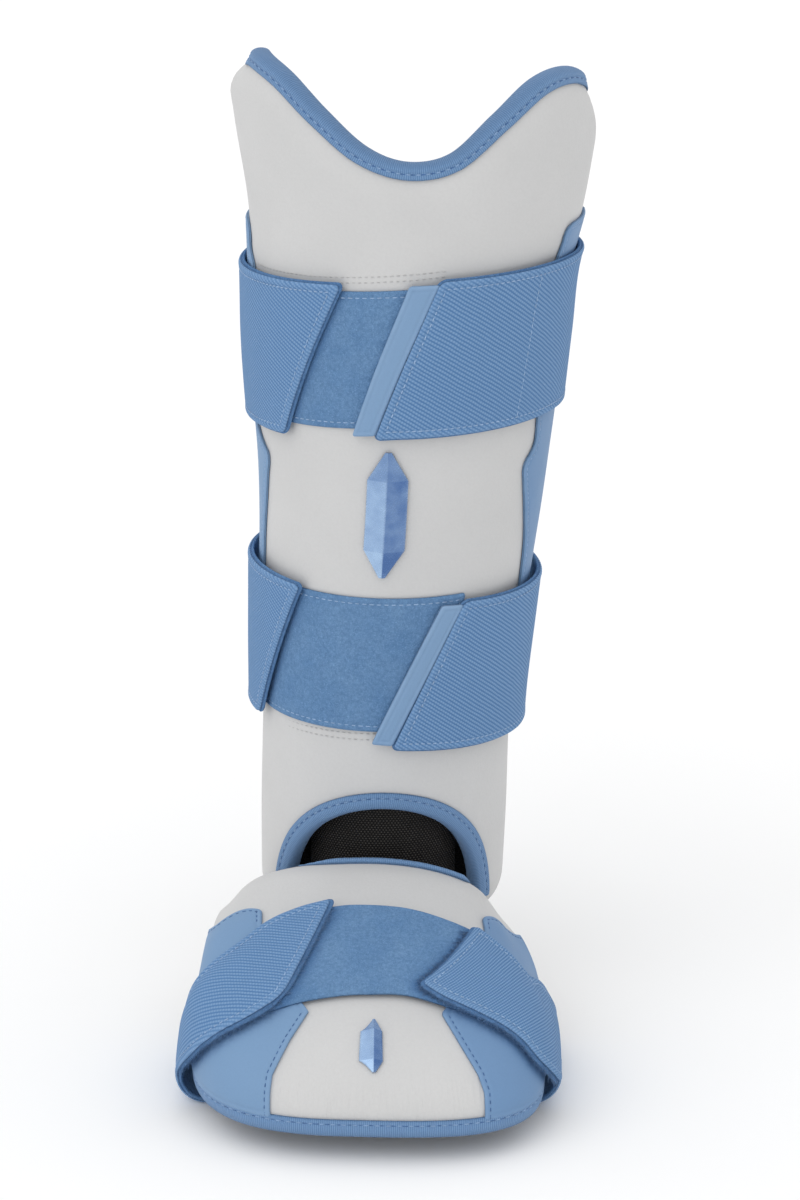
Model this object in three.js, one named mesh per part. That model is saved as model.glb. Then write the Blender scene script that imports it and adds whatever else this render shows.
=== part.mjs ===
// Batter's lower-leg guard: a padded shin guard with an arched ankle cut-out, a padded
// instep guard, a woven tongue between them, hook-and-loop straps and taped edges.
// Millimetres, +Z up, the front faces -Y. The origin is the centre of the wearer's ankle.
import * as THREE from 'three';
import { mergeVertices } from 'three/addons/utils/BufferGeometryUtils.js';

// ---------------------------------------------------------------- driving dimensions
const ANKLE_HEIGHT = 75;      // ankle centre above the underside of the sole strap
const PAD = 8;                // padded thickness of both shells
const GAP = 0.5;              // clearance between neighbouring pieces
const INSIDE_GAP = 0.9;       // the same on the hollow faces

const SHELL_REACH = 105;      // the shin shell ends this many degrees either side of the front
const TOP_ROLL = 3.6;         // how far the shell's face rolls in at its top edge
const TOP_ROLL_WIDTH = 14;
// the shell's top corners curl in towards the leg
const TOP_CURL = { left: 7, leftFrom: 51, leftFull: 80, right: 6, rightFrom: 66, rightFull: 88, width: 14.5 };
const ARCH_ROLL = 2.0;        // the same round the ankle cut-out
const ARCH_INNER_ROLL = 3.8;
const ARCH_ROLL_WIDTH = 9;
const TURNED_ROLL = 1.8;      // turned leather edges without tape
const TURNED_ROLL_WIDTH = 7;

const ARCH = { centre: 3, halfAngle: 55.4, foot: 45, rise: 49.2, radius: 47 };
const EAR_CORNER = { from: 86, rise: 13 };   // rounded lower back corners of the shell

const TAPE = 1.5;             // thickness of the binding tape
const TOP_TAPE = { outer: 3.6, inner: 5, bulge: 0.15, clear: 0.4 };   // clear: extra room over the curled corners
const ARCH_TAPE = { outer: 4.9, inner: 6, bulge: 0.2 };
const TOE_TAPE = { outer: 4.3, inner: 5, bulge: 0.55 };
const INSTEP_TAPE = { outer: 1.2, inner: 6, bulge: 0.2, from: -40, to: 66 };

const WING = { lift: 0.7, thick: 1.4, outerEnd: 97, rightDrop: 7 };   // rightDrop: the right wing's top edge falls towards the back
const SHIN_LOOP = { lift: 0.45, thick: 1.5 };
const SHIN_STRAP = { lift: 2.35, thick: 2.5 };
const FOOT_PANEL = { lift: 0.55, thick: 1.4 };
const FOOT_LOOP = { lift: 2.35, thick: 1.6 };
const FOOT_STRAP = { lift: 4.55, thick: 2.5 };

const SOLE = { turnHeight: 11.5, turnRadius: 9 };   // inner bend of the strap under the rim

const DOME_REACH = 105;       // the instep dome ends this many degrees either side of the toe
const RIM_ROLL = 1.5;         // outer face rolls in at the rim and the ankle edge
const RIM_ROLL_WIDTH = 8;
const RIM_INNER_ROLL = 1.8;

const TONGUE = { lift: -10.6, thick: 1.6, reach: 66, centre: 3.5, foldFrom: 48, foldDeep: 56, foldDepth: 6.5,
  tuckFull: 24, tuckNone: 50 };

// ---------------------------------------------------------------- tables
const table = (columns, rows) =>
  rows.map((r) => Object.fromEntries(columns.map((c, i) => [c, r[i]])));

// Leg-shaped sections of the shin guard: centre and half-widths (left side, right side, front, back).
const SHIN_SECTIONS = table(['z', 'cx', 'cy', 'side', 'right', 'front', 'back'], [
  [30, 0, 0, 45.5, 47, 45, 46],
  [75, 0.6, 0, 46, 48.2, 46, 47],
  [120, 2.6, 1, 46.8, 47.6, 48, 51],
  [165, 5, 2, 48.8, 49.8, 52, 56],
  [215, 8.4, 3, 52, 53.1, 57, 62],
  [245, 9.9, 3.6, 55.6, 55.1, 60.1, 64.8],
  [265, 11, 4, 57.6, 56, 62, 66],
  [290, 12.9, 4.6, 59.8, 56.6, 63.8, 66.2],
  [310, 14, 5, 61.5, 60.5, 65, 66],
  [345, 13.8, 5, 66.3, 66.3, 67, 66],
  [380, 13, 5, 69, 69, 68, 66],
]);

// Height of the shell's top edge round the leg.
const TOP_EDGE = table(['deg', 'z'], [
  [-105, 335], [-90, 360.5], [-75, 365.2], [-60, 368.7], [-45, 364.6], [-30, 352.6], [-15, 340.4], [1, 335.4],
  [15, 338.4], [30, 351.3], [45, 361.8], [60, 364.6], [75, 361.2], [90, 353], [105, 336],
]);

// Inner edges of the leather wings.
const WING_RIGHT = table(['z', 'deg'], [
  [128, 71.2], [165, 70.4], [188, 68.3], [204.6, 62.6], [215, 59], [219.8, 57.9], [222.8, 59], [225.5, 62.5],
  [227.5, 64.2], [232, 64.7], [237, 64], [266, 64.1], [290, 63.4], [297.6, 63.4], [302.8, 64.7], [307.6, 64.9],
  [310.4, 65.4], [312, 68.2], [312.8, 72.8], [313.5, 83.2],
]);
const WING_LEFT = table(['z', 'deg'], [
  [128, -73], [165, -72.5], [180, -72.4], [190, -71.9], [202, -69.1], [214.7, -65.7], [220.5, -63.6],
  [223.5, -64.2], [226, -69], [230, -76], [239, -79], [266, -77], [286, -70.5], [292.8, -71], [297, -76],
  [302, -76.5], [305, -78], [307, -82], [308, -88],
]);

// Straps round the leg: height at the front, tilt from left to right, width, and the angles
// at which the two diagonal ends lie (top and bottom corner of each), how far it stands off at
// the sides and how far it drops on its way round the right side.
const LEG_STRAPS = table(
  ['name', 'z', 'tilt', 'width', 'leftTop', 'leftLow', 'rightTop', 'rightLow', 'tabTop', 'tabLow', 'standOff', 'drop'], [
    ['upper', 267.6, 4.8, 57, -21, -44.6, 11.5, -7.3, 1.3, -15.7, 0.3, 4.6],
    ['lower', 147.4, -3.8, 58, -36.9, -64, 31.5, 6, 22.3, -3, 1.5, 0],
  ]);

// Loop panels on the shin: height, tilt, width and ends.
const LEG_LOOPS = table(['name', 'z', 'tilt', 'width', 'left', 'right'], [
  ['upper', 267.8, 4.4, 50.6, -57, 52],
  ['lower', 150.4, 0, 52.8, -69, 33.5],
]);

// The instep dome: a rim outline, an ankle edge and the rise between them (front, left, right).
const DOME = {
  rimFront: -150, rimZ: 12, ankleFront: -45.5, ankleZ: 72.3,
  rise: 28, run: 52, slope: 24,
  left: { rimHalf: 62, rimWide: -88, rimBack: -44, square: 2.7, ankleHalf: 50, ankleSide: -31, ankleDrop: 18.5, rise: 43, run: 27, slope: 10 },
  right: { rimHalf: 65.2, rimWide: -105, rimBack: -44, square: 3.2, ankleHalf: 45.2, ankleSide: -31, ankleDrop: 24, rise: 28, run: 13, slope: 28 },
};

// Side panels of the dome: each row runs from its outer to its inner end (angle, share of the
// way from rim to ankle edge), with a bulge in between.
const PANEL_LEFT = table(['outDeg', 'outUp', 'inDeg', 'inUp', 'bulge'], [
  [-102, 0.045, -21.9, 0.064, 0], [-102, 0.11, -22.5, 0.145, 0], [-102, 0.17, -22.5, 0.205, 0],
  [-102, 0.24, -18.3, 0.348, 0], [-101.5, 0.30, -14.8, 0.474, 0], [-101, 0.40, -47.6, 0.735, 0.06],
  [-100, 0.47, -51, 0.788, 0.09],
]);
const PANEL_RIGHT = table(['outDeg', 'outUp', 'inDeg', 'inUp', 'bulge'], [
  [102, 0.068, 34, 0.066, 0], [102, 0.135, 34.5, 0.155, 0], [102, 0.20, 32.7, 0.222, 0],
  [102, 0.27, 27, 0.342, 0], [102.3, 0.39, 21.8, 0.475, 0], [102.6, 0.53, 60.5, 0.739, 0.05],
  [102.8, 0.60, 62.2, 0.795, 0.05],
]);

// Loop panel across the dome: upper and lower edge.
const DOME_LOOP = table(['upDeg', 'up', 'loDeg', 'lo'], [
  [-88, 0.08, -61.2, 0.055], [-81, 0.27, -56.3, 0.175], [-64, 0.51, -46, 0.285], [-40, 0.72, -31, 0.395],
  [-14.5, 0.82, -14, 0.475], [10, 0.828, 5, 0.518], [34, 0.78, 21.5, 0.476], [57, 0.69, 40, 0.399],
  [80, 0.53, 58, 0.287], [93, 0.29, 69, 0.187], [96.5, 0.13, 75, 0.10],
]);

// Strap over the dome, from each flap's end down to the rim: upper and lower edge.
const FLAP_LEFT = table(['upDeg', 'up', 'loDeg', 'lo'], [
  [-14.5, 0.832, -24.3, 0.478], [-29, 0.788, -30.5, 0.418], [-43.1, 0.714, -37.2, 0.36], [-55, 0.612, -46, 0.29],
  [-68, 0.475, -55.5, 0.207], [-81, 0.30, -64, 0.13], [-92, 0.13, -72, 0.065], [-99, 0, -79, 0],
]);
const FLAP_RIGHT = table(['upDeg', 'up', 'loDeg', 'lo'], [
  [48.7, 0.731, 15.4, 0.548], [60.4, 0.657, 23, 0.496], [72.3, 0.576, 36, 0.43], [84.3, 0.492, 48.6, 0.361],
  [93, 0.40, 58.5, 0.29], [98, 0.28, 67, 0.205], [101, 0.14, 79, 0.105], [103.5, 0, 91, 0],
]);

// The tongue from its tucked foot up: height, how far the foot is drawn forward and its lean.
const TONGUE_ROWS = table(['z', 'forward', 'lean'], [
  [51, 24, 64], [54, 14, 58], [58.4, 6, 42], [65, 1.2, 16], [75.5, 0, 0], [94, 0, 0], [112, 0, 0],
]);

// Raised badges: a blunt-ended lozenge with a ridge down its middle.
const SHIN_BADGE = { deg: -2.5, z: 209, width: 16, height: 48, edge: 0.9, ridge: 2.6 };
const FOOT_BADGE = { deg: 1.5, up: 0.345, width: 8.5, height: 23, edge: 0.7, ridge: 1.7 };

// ---------------------------------------------------------------- small helpers
const rad = THREE.MathUtils.degToRad;
const { lerp, clamp, smoothstep } = THREE.MathUtils;
const sq = (x) => x * x;
const fade = (d, width) => sq(Math.max(0, 1 - Math.max(0, d) / width));

// Smooth curve through one column of a table, against another column.
function through(rows, key, column) {
  const x = rows.map((r) => r[key]);
  const y = rows.map((r) => r[column]);
  const h = x.slice(1).map((v, i) => v - x[i]);
  const d = h.map((v, i) => (y[i + 1] - y[i]) / v);
  const m = x.map((_, i) => {
    if (i === 0) return d[0];
    if (i === x.length - 1) return d[i - 1];
    return (d[i - 1] * h[i] + d[i] * h[i - 1]) / (h[i - 1] + h[i]);
  });
  return (v) => {
    let i = 0;
    while (i < h.length - 1 && v > x[i + 1]) i += 1;
    const t = clamp((v - x[i]) / h[i], 0, 1);
    const t2 = t * t;
    const t3 = t2 * t;
    return (2 * t3 - 3 * t2 + 1) * y[i] + (t3 - 2 * t2 + t) * h[i] * m[i]
      + (3 * t2 - 2 * t3) * y[i + 1] + (t3 - t2) * h[i] * m[i + 1];
  };
}
const indexed = (rows) => rows.map((r, i) => ({ ...r, n: i / (rows.length - 1) }));

// A box bent into shape: s runs along it, t across it and w from its inner to its outer face.
function bentBox(alongCount, acrossCount, map) {
  const box = new THREE.BoxGeometry(1, 1, 1, alongCount, acrossCount, 1);
  box.deleteAttribute('normal');
  box.deleteAttribute('uv');
  const p = box.attributes.position;
  for (let i = 0; i < p.count; i += 1) {
    const s = Math.round((p.getX(i) + 0.5) * alongCount) / alongCount;
    const t = Math.round((p.getY(i) + 0.5) * acrossCount) / acrossCount;
    const w = Math.round(p.getZ(i) + 0.5);
    const q = map(s, t, w);
    p.setXYZ(i, q.x, q.y, q.z);
  }
  box.clearGroups();
  const closed = mergeVertices(box, 1e-4);
  closed.computeVertexNormals();
  return closed;
}

// ---------------------------------------------------------------- the shin's surface
const section = Object.fromEntries(['cx', 'cy', 'side', 'right', 'front', 'back'].map((c) => [c, through(SHIN_SECTIONS, 'z', c)]));

function shinPoint(deg, z, off) {
  const s = Math.sin(rad(deg));
  const c = Math.cos(rad(deg));
  const a = s >= 0 ? section.right(z) : section.side(z);
  const b = c >= 0 ? section.front(z) : section.back(z);
  const n = new THREE.Vector2(s / a, -c / b).normalize();
  return new THREE.Vector3(section.cx(z) + a * s + off * n.x, section.cy(z) - b * c + off * n.y, z);
}

const topEdge = through(TOP_EDGE, 'deg', 'z');
const topSlope = (deg) => (topEdge(deg + 0.5) - topEdge(deg - 0.5)) / (rad(1) * 66);

function lowEdge(deg) {
  const u = (deg - ARCH.centre) / ARCH.halfAngle;
  if (Math.abs(u) < 1) return ARCH.foot + ARCH.rise * Math.sqrt(1 - u * u);
  const k = clamp((Math.abs(deg) - EAR_CORNER.from) / (SHELL_REACH - EAR_CORNER.from), 0, 1);
  return ARCH.foot + EAR_CORNER.rise * (1 - Math.sqrt(1 - k * k));
}

const topDistance = (deg, z) => (topEdge(deg) - z) / Math.hypot(1, topSlope(deg));
const archDistance = (deg, z) =>
  (Math.hypot((deg - ARCH.centre) / ARCH.halfAngle, Math.max(0, z - ARCH.foot) / ARCH.rise) - 1) * ARCH.radius;
const sideDistance = (deg, z) => rad(SHELL_REACH - Math.abs(deg)) * section.side(z);
const earDistance = (deg, z) => (Math.abs(deg - ARCH.centre) < ARCH.halfAngle ? 99 : z - lowEdge(deg));

const topCurl = (deg, z) => fade(topDistance(deg, z), TOP_CURL.width)
  * (TOP_CURL.left * smoothstep(-deg, TOP_CURL.leftFrom, TOP_CURL.leftFull) + TOP_CURL.right * smoothstep(deg, TOP_CURL.rightFrom, TOP_CURL.rightFull));
const shinRoll = (deg, z) => TOP_ROLL * fade(topDistance(deg, z), TOP_ROLL_WIDTH) + topCurl(deg, z)
  + ARCH_ROLL * fade(archDistance(deg, z), ARCH_ROLL_WIDTH)
  + TURNED_ROLL * Math.max(fade(sideDistance(deg, z), TURNED_ROLL_WIDTH), fade(earDistance(deg, z), TURNED_ROLL_WIDTH));
const shinInnerRoll = (deg, z) => 0.9 * fade(topDistance(deg, z), TOP_ROLL_WIDTH) - topCurl(deg, z)
  + ARCH_INNER_ROLL * fade(archDistance(deg, z), ARCH_ROLL_WIDTH)
  + TURNED_ROLL * Math.max(fade(sideDistance(deg, z), TURNED_ROLL_WIDTH), fade(earDistance(deg, z), TURNED_ROLL_WIDTH));

const onShin = (deg, z, lift) => shinPoint(deg, z, lift - shinRoll(deg, z));
const inShin = (deg, z, lift) => shinPoint(deg, z, -PAD + shinInnerRoll(deg, z) - lift);

// ---------------------------------------------------------------- the instep dome's surface
const half = (deg) => (deg < 0 ? DOME.left : DOME.right);

function rimPoint(deg) {
  const h = half(deg);
  const s = Math.sin(rad(deg));
  const c = Math.cos(rad(deg));
  const n = 2 / h.square;
  if (c >= 0) {
    return new THREE.Vector3(h.rimHalf * Math.sign(s) * Math.abs(s) ** n, h.rimWide + (DOME.rimFront - h.rimWide) * c ** n, DOME.rimZ);
  }
  const g = clamp((Math.abs(deg) - 90) / (DOME_REACH - 90), 0, 1);
  return new THREE.Vector3(h.rimHalf * Math.sign(s) * (1 - 0.05 * g * g), lerp(h.rimWide, h.rimBack, g), DOME.rimZ);
}

function anklePoint(deg) {
  const h = half(deg);
  const t = rad(90) * clamp(deg / DOME_REACH, -1, 1);
  return new THREE.Vector3(h.ankleHalf * Math.sin(t), lerp(h.ankleSide, DOME.ankleFront, Math.cos(t)),
    DOME.ankleZ - h.ankleDrop * (1 - Math.cos(t)));
}

function domeShape(deg) {
  const h = half(deg);
  const f = Math.max(0, Math.cos(rad(deg))) ** 1.2;
  return { rise: lerp(h.rise, DOME.rise, f), run: lerp(h.run, DOME.run, f), slope: rad(lerp(h.slope, DOME.slope, f)) };
}

function domeBase(deg, up) {
  const r = rimPoint(deg);
  const a = anklePoint(deg);
  const k = domeShape(deg);
  const flat = new THREE.Vector2(r.x - a.x, r.y - a.y).normalize();
  const curve = new THREE.CubicBezierCurve3(
    r,
    r.clone().add(new THREE.Vector3(0, 0, k.rise)),
    a.clone().add(new THREE.Vector3(flat.x * Math.cos(k.slope), flat.y * Math.cos(k.slope), -Math.sin(k.slope)).multiplyScalar(k.run)),
    a,
  );
  return curve.getPoint(clamp(up, 0, 1));
}

function domePoint(deg, up, off) {
  const e = 0.002;
  const du = domeBase(deg + 0.1, up).sub(domeBase(deg - 0.1, up));
  const dv = domeBase(deg, Math.min(1, up + e)).sub(domeBase(deg, Math.max(0, up - e)));
  const n = du.cross(dv).normalize();
  return domeBase(deg, up).addScaledVector(n, off);
}

const rimSpeed = (deg) => 3 * domeShape(deg).rise;
const ankleSpeed = (deg) => 3 * domeShape(deg).run;
const domeBack = (deg, up) => domeBase(deg, up).distanceTo(domeBase(Math.sign(deg || 1) * DOME_REACH, up));

const domeRoll = (deg, up) => RIM_ROLL * (fade(up * rimSpeed(deg), RIM_ROLL_WIDTH) + fade((1 - up) * ankleSpeed(deg), RIM_ROLL_WIDTH))
  + TURNED_ROLL * fade(domeBack(deg, up), TURNED_ROLL_WIDTH);
const domeInnerRoll = (deg, up) => RIM_INNER_ROLL * (fade(up * rimSpeed(deg), RIM_ROLL_WIDTH) + fade((1 - up) * ankleSpeed(deg), RIM_ROLL_WIDTH))
  + TURNED_ROLL * fade(domeBack(deg, up), TURNED_ROLL_WIDTH);

const onDome = (deg, up, lift) => domePoint(deg, up, lift - domeRoll(deg, up));
const inDome = (deg, up, lift) => domePoint(deg, up, -PAD + domeInnerRoll(deg, up) - lift);

// Angles at even steps round the dome, closer together where its outline turns.
const TURN_WEIGHT = 25;
const GIRTH = (() => {
  const at = (d) => domeBase(clamp(d, -DOME_REACH, DOME_REACH), 0.2);
  const rows = [{ deg: -DOME_REACH, length: 0 }];
  for (let d = -DOME_REACH + 1; d <= DOME_REACH; d += 1) {
    const here = at(d).sub(at(d - 1));
    const turn = d < DOME_REACH ? here.angleTo(at(d + 1).sub(at(d))) : 0;
    rows.push({ deg: d, length: rows[rows.length - 1].length + here.length() + TURN_WEIGHT * turn });
  }
  return rows;
})();
const girthAt = through(GIRTH, 'deg', 'length');
const degAt = through(GIRTH, 'length', 'deg');
const girthLerp = (d0, d1, s) => {
  if (s === 0) return d0;
  if (s === 1) return d1;
  return degAt(lerp(girthAt(d0), girthAt(d1), s));
};

// ---------------------------------------------------------------- binding tape
// The tape's section: an outer leg, a turn round the edge and an inner leg.
function tapeSection(size) {
  const turn = [0, 60, 120, 180].map((deg) => ({ turn: rad(deg) }));
  const legs = size.outer > 3 ? [1, 0.5] : [1];
  return [...legs.map((k) => ({ leg: 'outer', d: size.outer * k })), ...turn, { leg: 'inner', d: size.inner }];
}

// outer(s, d, lift) and inner(s, d, lift) give points d inside the edge on either face,
// away(s) the direction in the surface that points off the edge.
function boundTape(count, size, outer, inner, away) {
  const stops = tapeSection(size);
  return bentBox(count, stops.length - 1, (s, t, w) => {
    const stop = stops[Math.round(t * (stops.length - 1))];
    const lift = GAP + (size.clear ?? 0) + w * TAPE;
    const insideLift = INSIDE_GAP + (size.clear ?? 0) + w * TAPE;
    if (stop.leg === 'outer') return outer(s, stop.d, lift);
    if (stop.leg === 'inner') return inner(s, stop.d, insideLift);
    const o = outer(s, 0, lift);
    const i = inner(s, 0, insideLift);
    const middle = o.clone().add(i).multiplyScalar(0.5);
    const arm = o.clone().sub(i).multiplyScalar(0.5);
    const reach = GAP + w * TAPE + size.bulge * (arm.length() - lift);
    return middle.addScaledVector(arm, Math.cos(stop.turn)).addScaledVector(away(s), reach * Math.sin(stop.turn));
  });
}

// ---------------------------------------------------------------- pieces
const material = (color, roughness, metalness = 0) => new THREE.MeshStandardMaterial({ color, roughness, metalness });
const LOOK = {
  greyLeather: () => material('#c9c9c9', 0.6),
  blueLeather: () => material('#7a9abd', 0.45),
  webbing: () => material('#6b8db4', 0.85),
  loopPile: () => material('#658ab1', 0.95),
  tape: () => material('#6d8fb5', 0.8),
  nylon: () => material('#1e1c1c', 0.85),
  badge: () => material('#5c84b4', 0.25, 0.3),
};

const guard = new THREE.Group();
const body = new THREE.Group();
body.position.z = -ANKLE_HEIGHT;
guard.add(body);
function piece(name, geometry, look) {
  const mesh = new THREE.Mesh(geometry, look());
  mesh.name = name;
  body.add(mesh);
}

// Shin shell: columns follow the ears and the arch, rows gather at the rolled edges.
const ARCH_LEFT = ARCH.centre - ARCH.halfAngle;
const ARCH_RIGHT = ARCH.centre + ARCH.halfAngle;
const SHELL_COLUMNS = [
  ...[0, 0.12, 0.28, 0.44, 0.6, 0.8].map((k) => lerp(-SHELL_REACH, ARCH_LEFT, k)),
  ...Array.from({ length: 23 }, (_, i) => ARCH.centre + ARCH.halfAngle * Math.sin(rad(-90 + (180 * i) / 22))),
  ...[0.22, 0.42, 0.6, 0.78, 1].map((k) => lerp(ARCH_RIGHT, SHELL_REACH, k)),
];
const SHELL_ROWS = [0, 2.5, 8];           // distances from the lower edge
const SHELL_ROWS_TOP = [15, 8.5, 4, 1.5, 0];   // distances from the top edge
const SHELL_ROWS_BETWEEN = 10;
const shellRowCount = SHELL_ROWS.length + SHELL_ROWS_BETWEEN + SHELL_ROWS_TOP.length;
function shellHeight(deg, j) {
  const low = lowEdge(deg);
  const top = topEdge(deg);
  if (j < SHELL_ROWS.length) return low + SHELL_ROWS[j];
  const k = j - SHELL_ROWS.length - SHELL_ROWS_BETWEEN;
  if (k >= 0) return top - SHELL_ROWS_TOP[k];
  return lerp(low + SHELL_ROWS[SHELL_ROWS.length - 1], top - SHELL_ROWS_TOP[0], (j - SHELL_ROWS.length + 1) / (SHELL_ROWS_BETWEEN + 1));
}
piece('shin_shell', bentBox(SHELL_COLUMNS.length - 1, shellRowCount - 1, (s, t, w) => {
  const deg = SHELL_COLUMNS[Math.round(s * (SHELL_COLUMNS.length - 1))];
  const z = shellHeight(deg, Math.round(t * (shellRowCount - 1)));
  return w ? onShin(deg, z, 0) : inShin(deg, z, 0);
}), LOOK.greyLeather);

// Tape over the dipped top edge.
const TOP_TAPE_STEPS = SHELL_COLUMNS.length - 1;
const TOP_TAPE_COLUMNS = [-SHELL_REACH + 0.6, ...SHELL_COLUMNS.slice(1, -1), SHELL_REACH - 0.6];
const alongTop = (s) => TOP_TAPE_COLUMNS[Math.round(s * TOP_TAPE_STEPS)];
function downFromTop(s, d) {
  const deg = alongTop(s);
  const k = topSlope(deg);
  const len = Math.hypot(1, k);
  const shifted = deg + THREE.MathUtils.radToDeg((d * k) / len / 66);
  return [shifted, topEdge(deg) - d / len];
}
piece('top_binding', boundTape(TOP_TAPE_STEPS, TOP_TAPE,
  (s, d, lift) => onShin(...downFromTop(s, d), lift),
  (s, d, lift) => inShin(...downFromTop(s, d), lift),
  (s) => {
    const deg = alongTop(s);
    const k = topSlope(deg);
    const east = new THREE.Vector3(Math.cos(rad(deg)), Math.sin(rad(deg)), 0);
    return new THREE.Vector3(0, 0, 1).addScaledVector(east, -k).normalize();
  }), LOOK.tape);

// Tape round the arched cut-out, from the right ear over the top to the left ear.
const archAngle = (s) => lerp(rad(86), rad(-86), s);
const archRim = (s, d) => {
  const a = archAngle(s);
  const k = 1 + d / ARCH.radius;
  return [ARCH.centre + ARCH.halfAngle * k * Math.sin(a), ARCH.foot + ARCH.rise * k * Math.cos(a)];
};
piece('arch_binding', boundTape(20, ARCH_TAPE,
  (s, d, lift) => onShin(...archRim(s, d), lift),
  (s, d, lift) => inShin(...archRim(s, d), lift),
  (s) => {
    const [deg] = archRim(s, 0);
    const east = new THREE.Vector3(Math.cos(rad(deg)), Math.sin(rad(deg)), 0);
    const a = archAngle(s);
    return east.multiplyScalar(-Math.sin(a)).addScaledVector(new THREE.Vector3(0, 0, 1), -Math.cos(a)).normalize();
  }), LOOK.tape);

// Leather wings over the shell's sides.
function wing(edge, outerEnd, drop) {
  const inner = through(edge, 'z', 'deg');
  const rows = edge.map((r) => r.z);
  return bentBox(5, rows.length - 1, (s, t, w) => {
    const z = rows[Math.round(t * (rows.length - 1))];
    const deg = outerEnd < 0 ? lerp(outerEnd, inner(z), s) : lerp(inner(z), outerEnd, s);
    const fall = drop * smoothstep(Math.abs(deg), 72, 94) * smoothstep(z, 290, 313);
    return onShin(deg, z - fall, WING.lift + w * WING.thick);
  });
}
piece('wing_left', wing(WING_LEFT, -WING.outerEnd, 0), LOOK.blueLeather);
piece('wing_right', wing(WING_RIGHT, WING.outerEnd, WING.rightDrop), LOOK.blueLeather);

// Loop panels across the shin.
for (const row of LEG_LOOPS) {
  piece(`${row.name}_loop`, bentBox(16, 2, (s, t, w) => {
    const deg = lerp(row.left, row.right, s);
    const z = row.z + row.tilt * Math.sin(rad(deg)) + (t - 0.5) * row.width;
    return onShin(deg, z, SHIN_LOOP.lift + w * SHIN_LOOP.thick);
  }), LOOK.loopPile);
}

// Straps round the leg and the pull tabs on their right ends.
const strapLift = (row, deg) => SHIN_STRAP.lift + row.standOff * (Math.cos(rad(deg)) < 0 ? 1 : sq(Math.sin(rad(deg))));
const strapHeight = (row, deg) => row.z + row.tilt * Math.sin(rad(deg)) - row.drop * clamp(deg / 90, 0, 1) * (1 - smoothstep(deg, 90, 270));
for (const row of LEG_STRAPS) {
  const place = (deg, t, w) => shinPoint(deg, strapHeight(row, deg) + (t - 0.5) * row.width,
    strapLift(row, deg) + w * SHIN_STRAP.thick);
  piece(`${row.name}_strap`, bentBox(36, 4, (s, t, w) =>
    place(lerp(lerp(row.rightLow, row.rightTop, t), 360 + lerp(row.leftLow, row.leftTop, t), s), t, w)), LOOK.webbing);
  piece(`${row.name}_tab`, bentBox(3, 2, (s, t, w) =>
    place(lerp(lerp(row.tabLow, row.tabTop, t), lerp(row.rightLow, row.rightTop, t) - 0.7, s), lerp(0.02, 0.98, t), w * 0.8)), LOOK.blueLeather);
}

// Badge outline: parallel flanks in the middle, tapering to blunt ends.
const lozenge = (t) => clamp(1.9 * (1 - Math.abs(2 * t - 1)) + 0.16, 0, 1);
const ridge = (badge, s, t, w) => GAP + (w ? badge.edge + badge.ridge * (1 - Math.abs(2 * s - 1)) * lozenge(t) : 0);
piece('shin_badge', bentBox(4, 6, (s, t, w) => {
  const z = SHIN_BADGE.z + (t - 0.5) * SHIN_BADGE.height;
  const across = (s - 0.5) * SHIN_BADGE.width * lozenge(t);
  const deg = SHIN_BADGE.deg + THREE.MathUtils.radToDeg(across / section.front(z));
  return onShin(deg, z, ridge(SHIN_BADGE, s, t, w));
}), LOOK.badge);

// Instep dome.
const DOME_COLUMNS = 34;
const DOME_ROWS = [0, 0.03, 0.08, 0.22, 0.37, 0.52, 0.67, 0.78, 0.87, 0.94, 1];
piece('foot_shell', bentBox(DOME_COLUMNS, DOME_ROWS.length - 1, (s, t, w) => {
  const deg = girthLerp(-DOME_REACH, DOME_REACH, s);
  const up = DOME_ROWS[Math.round(t * (DOME_ROWS.length - 1))];
  return w ? onDome(deg, up, 0) : inDome(deg, up, 0);
}), LOOK.greyLeather);

// Tape round the dome's rim and over its ankle edge.
piece('toe_binding', boundTape(32, TOE_TAPE,
  (s, d, lift) => { const deg = girthLerp(DOME_REACH - 0.3, -DOME_REACH + 0.3, s); return onDome(deg, d / rimSpeed(deg), lift); },
  (s, d, lift) => { const deg = girthLerp(DOME_REACH - 0.3, -DOME_REACH + 0.3, s); return inDome(deg, d / rimSpeed(deg), lift); },
  () => new THREE.Vector3(0, 0, -1)), LOOK.tape);
piece('instep_binding', boundTape(20, INSTEP_TAPE,
  (s, d, lift) => { const deg = lerp(INSTEP_TAPE.from, INSTEP_TAPE.to, s); return onDome(deg, 1 - d / ankleSpeed(deg), lift); },
  (s, d, lift) => { const deg = lerp(INSTEP_TAPE.from, INSTEP_TAPE.to, s); return inDome(deg, 1 - d / ankleSpeed(deg), lift); },
  (s) => {
    const deg = lerp(INSTEP_TAPE.from, INSTEP_TAPE.to, s);
    return domeBase(deg, 1).sub(domeBase(deg, 0.98)).normalize();
  }), LOOK.tape);

// Leather side panels of the dome.
function sidePanel(rows, fromOuter) {
  const r = indexed(rows);
  const at = Object.fromEntries(['outDeg', 'outUp', 'inDeg', 'inUp', 'bulge'].map((c) => [c, (t) => {
    const k = clamp(t * (r.length - 1), 0, r.length - 1);
    const i = Math.min(r.length - 2, Math.floor(k));
    return lerp(r[i][c], r[i + 1][c], k - i);
  }]));
  const count = r.length - 1;
  return bentBox(12, count + 2, (s, t, w) => {
    const k = fromOuter ? s : 1 - s;
    const deg = girthLerp(at.outDeg(t), at.inDeg(t), k);
    const u = (deg - at.outDeg(t)) / (at.inDeg(t) - at.outDeg(t));
    const up = lerp(at.outUp(t), at.inUp(t), u) + at.bulge(t) * 4 * u * (1 - u);
    return onDome(deg, up, FOOT_PANEL.lift + w * FOOT_PANEL.thick);
  });
}
piece('foot_panel_left', sidePanel(PANEL_LEFT, true), LOOK.blueLeather);
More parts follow.
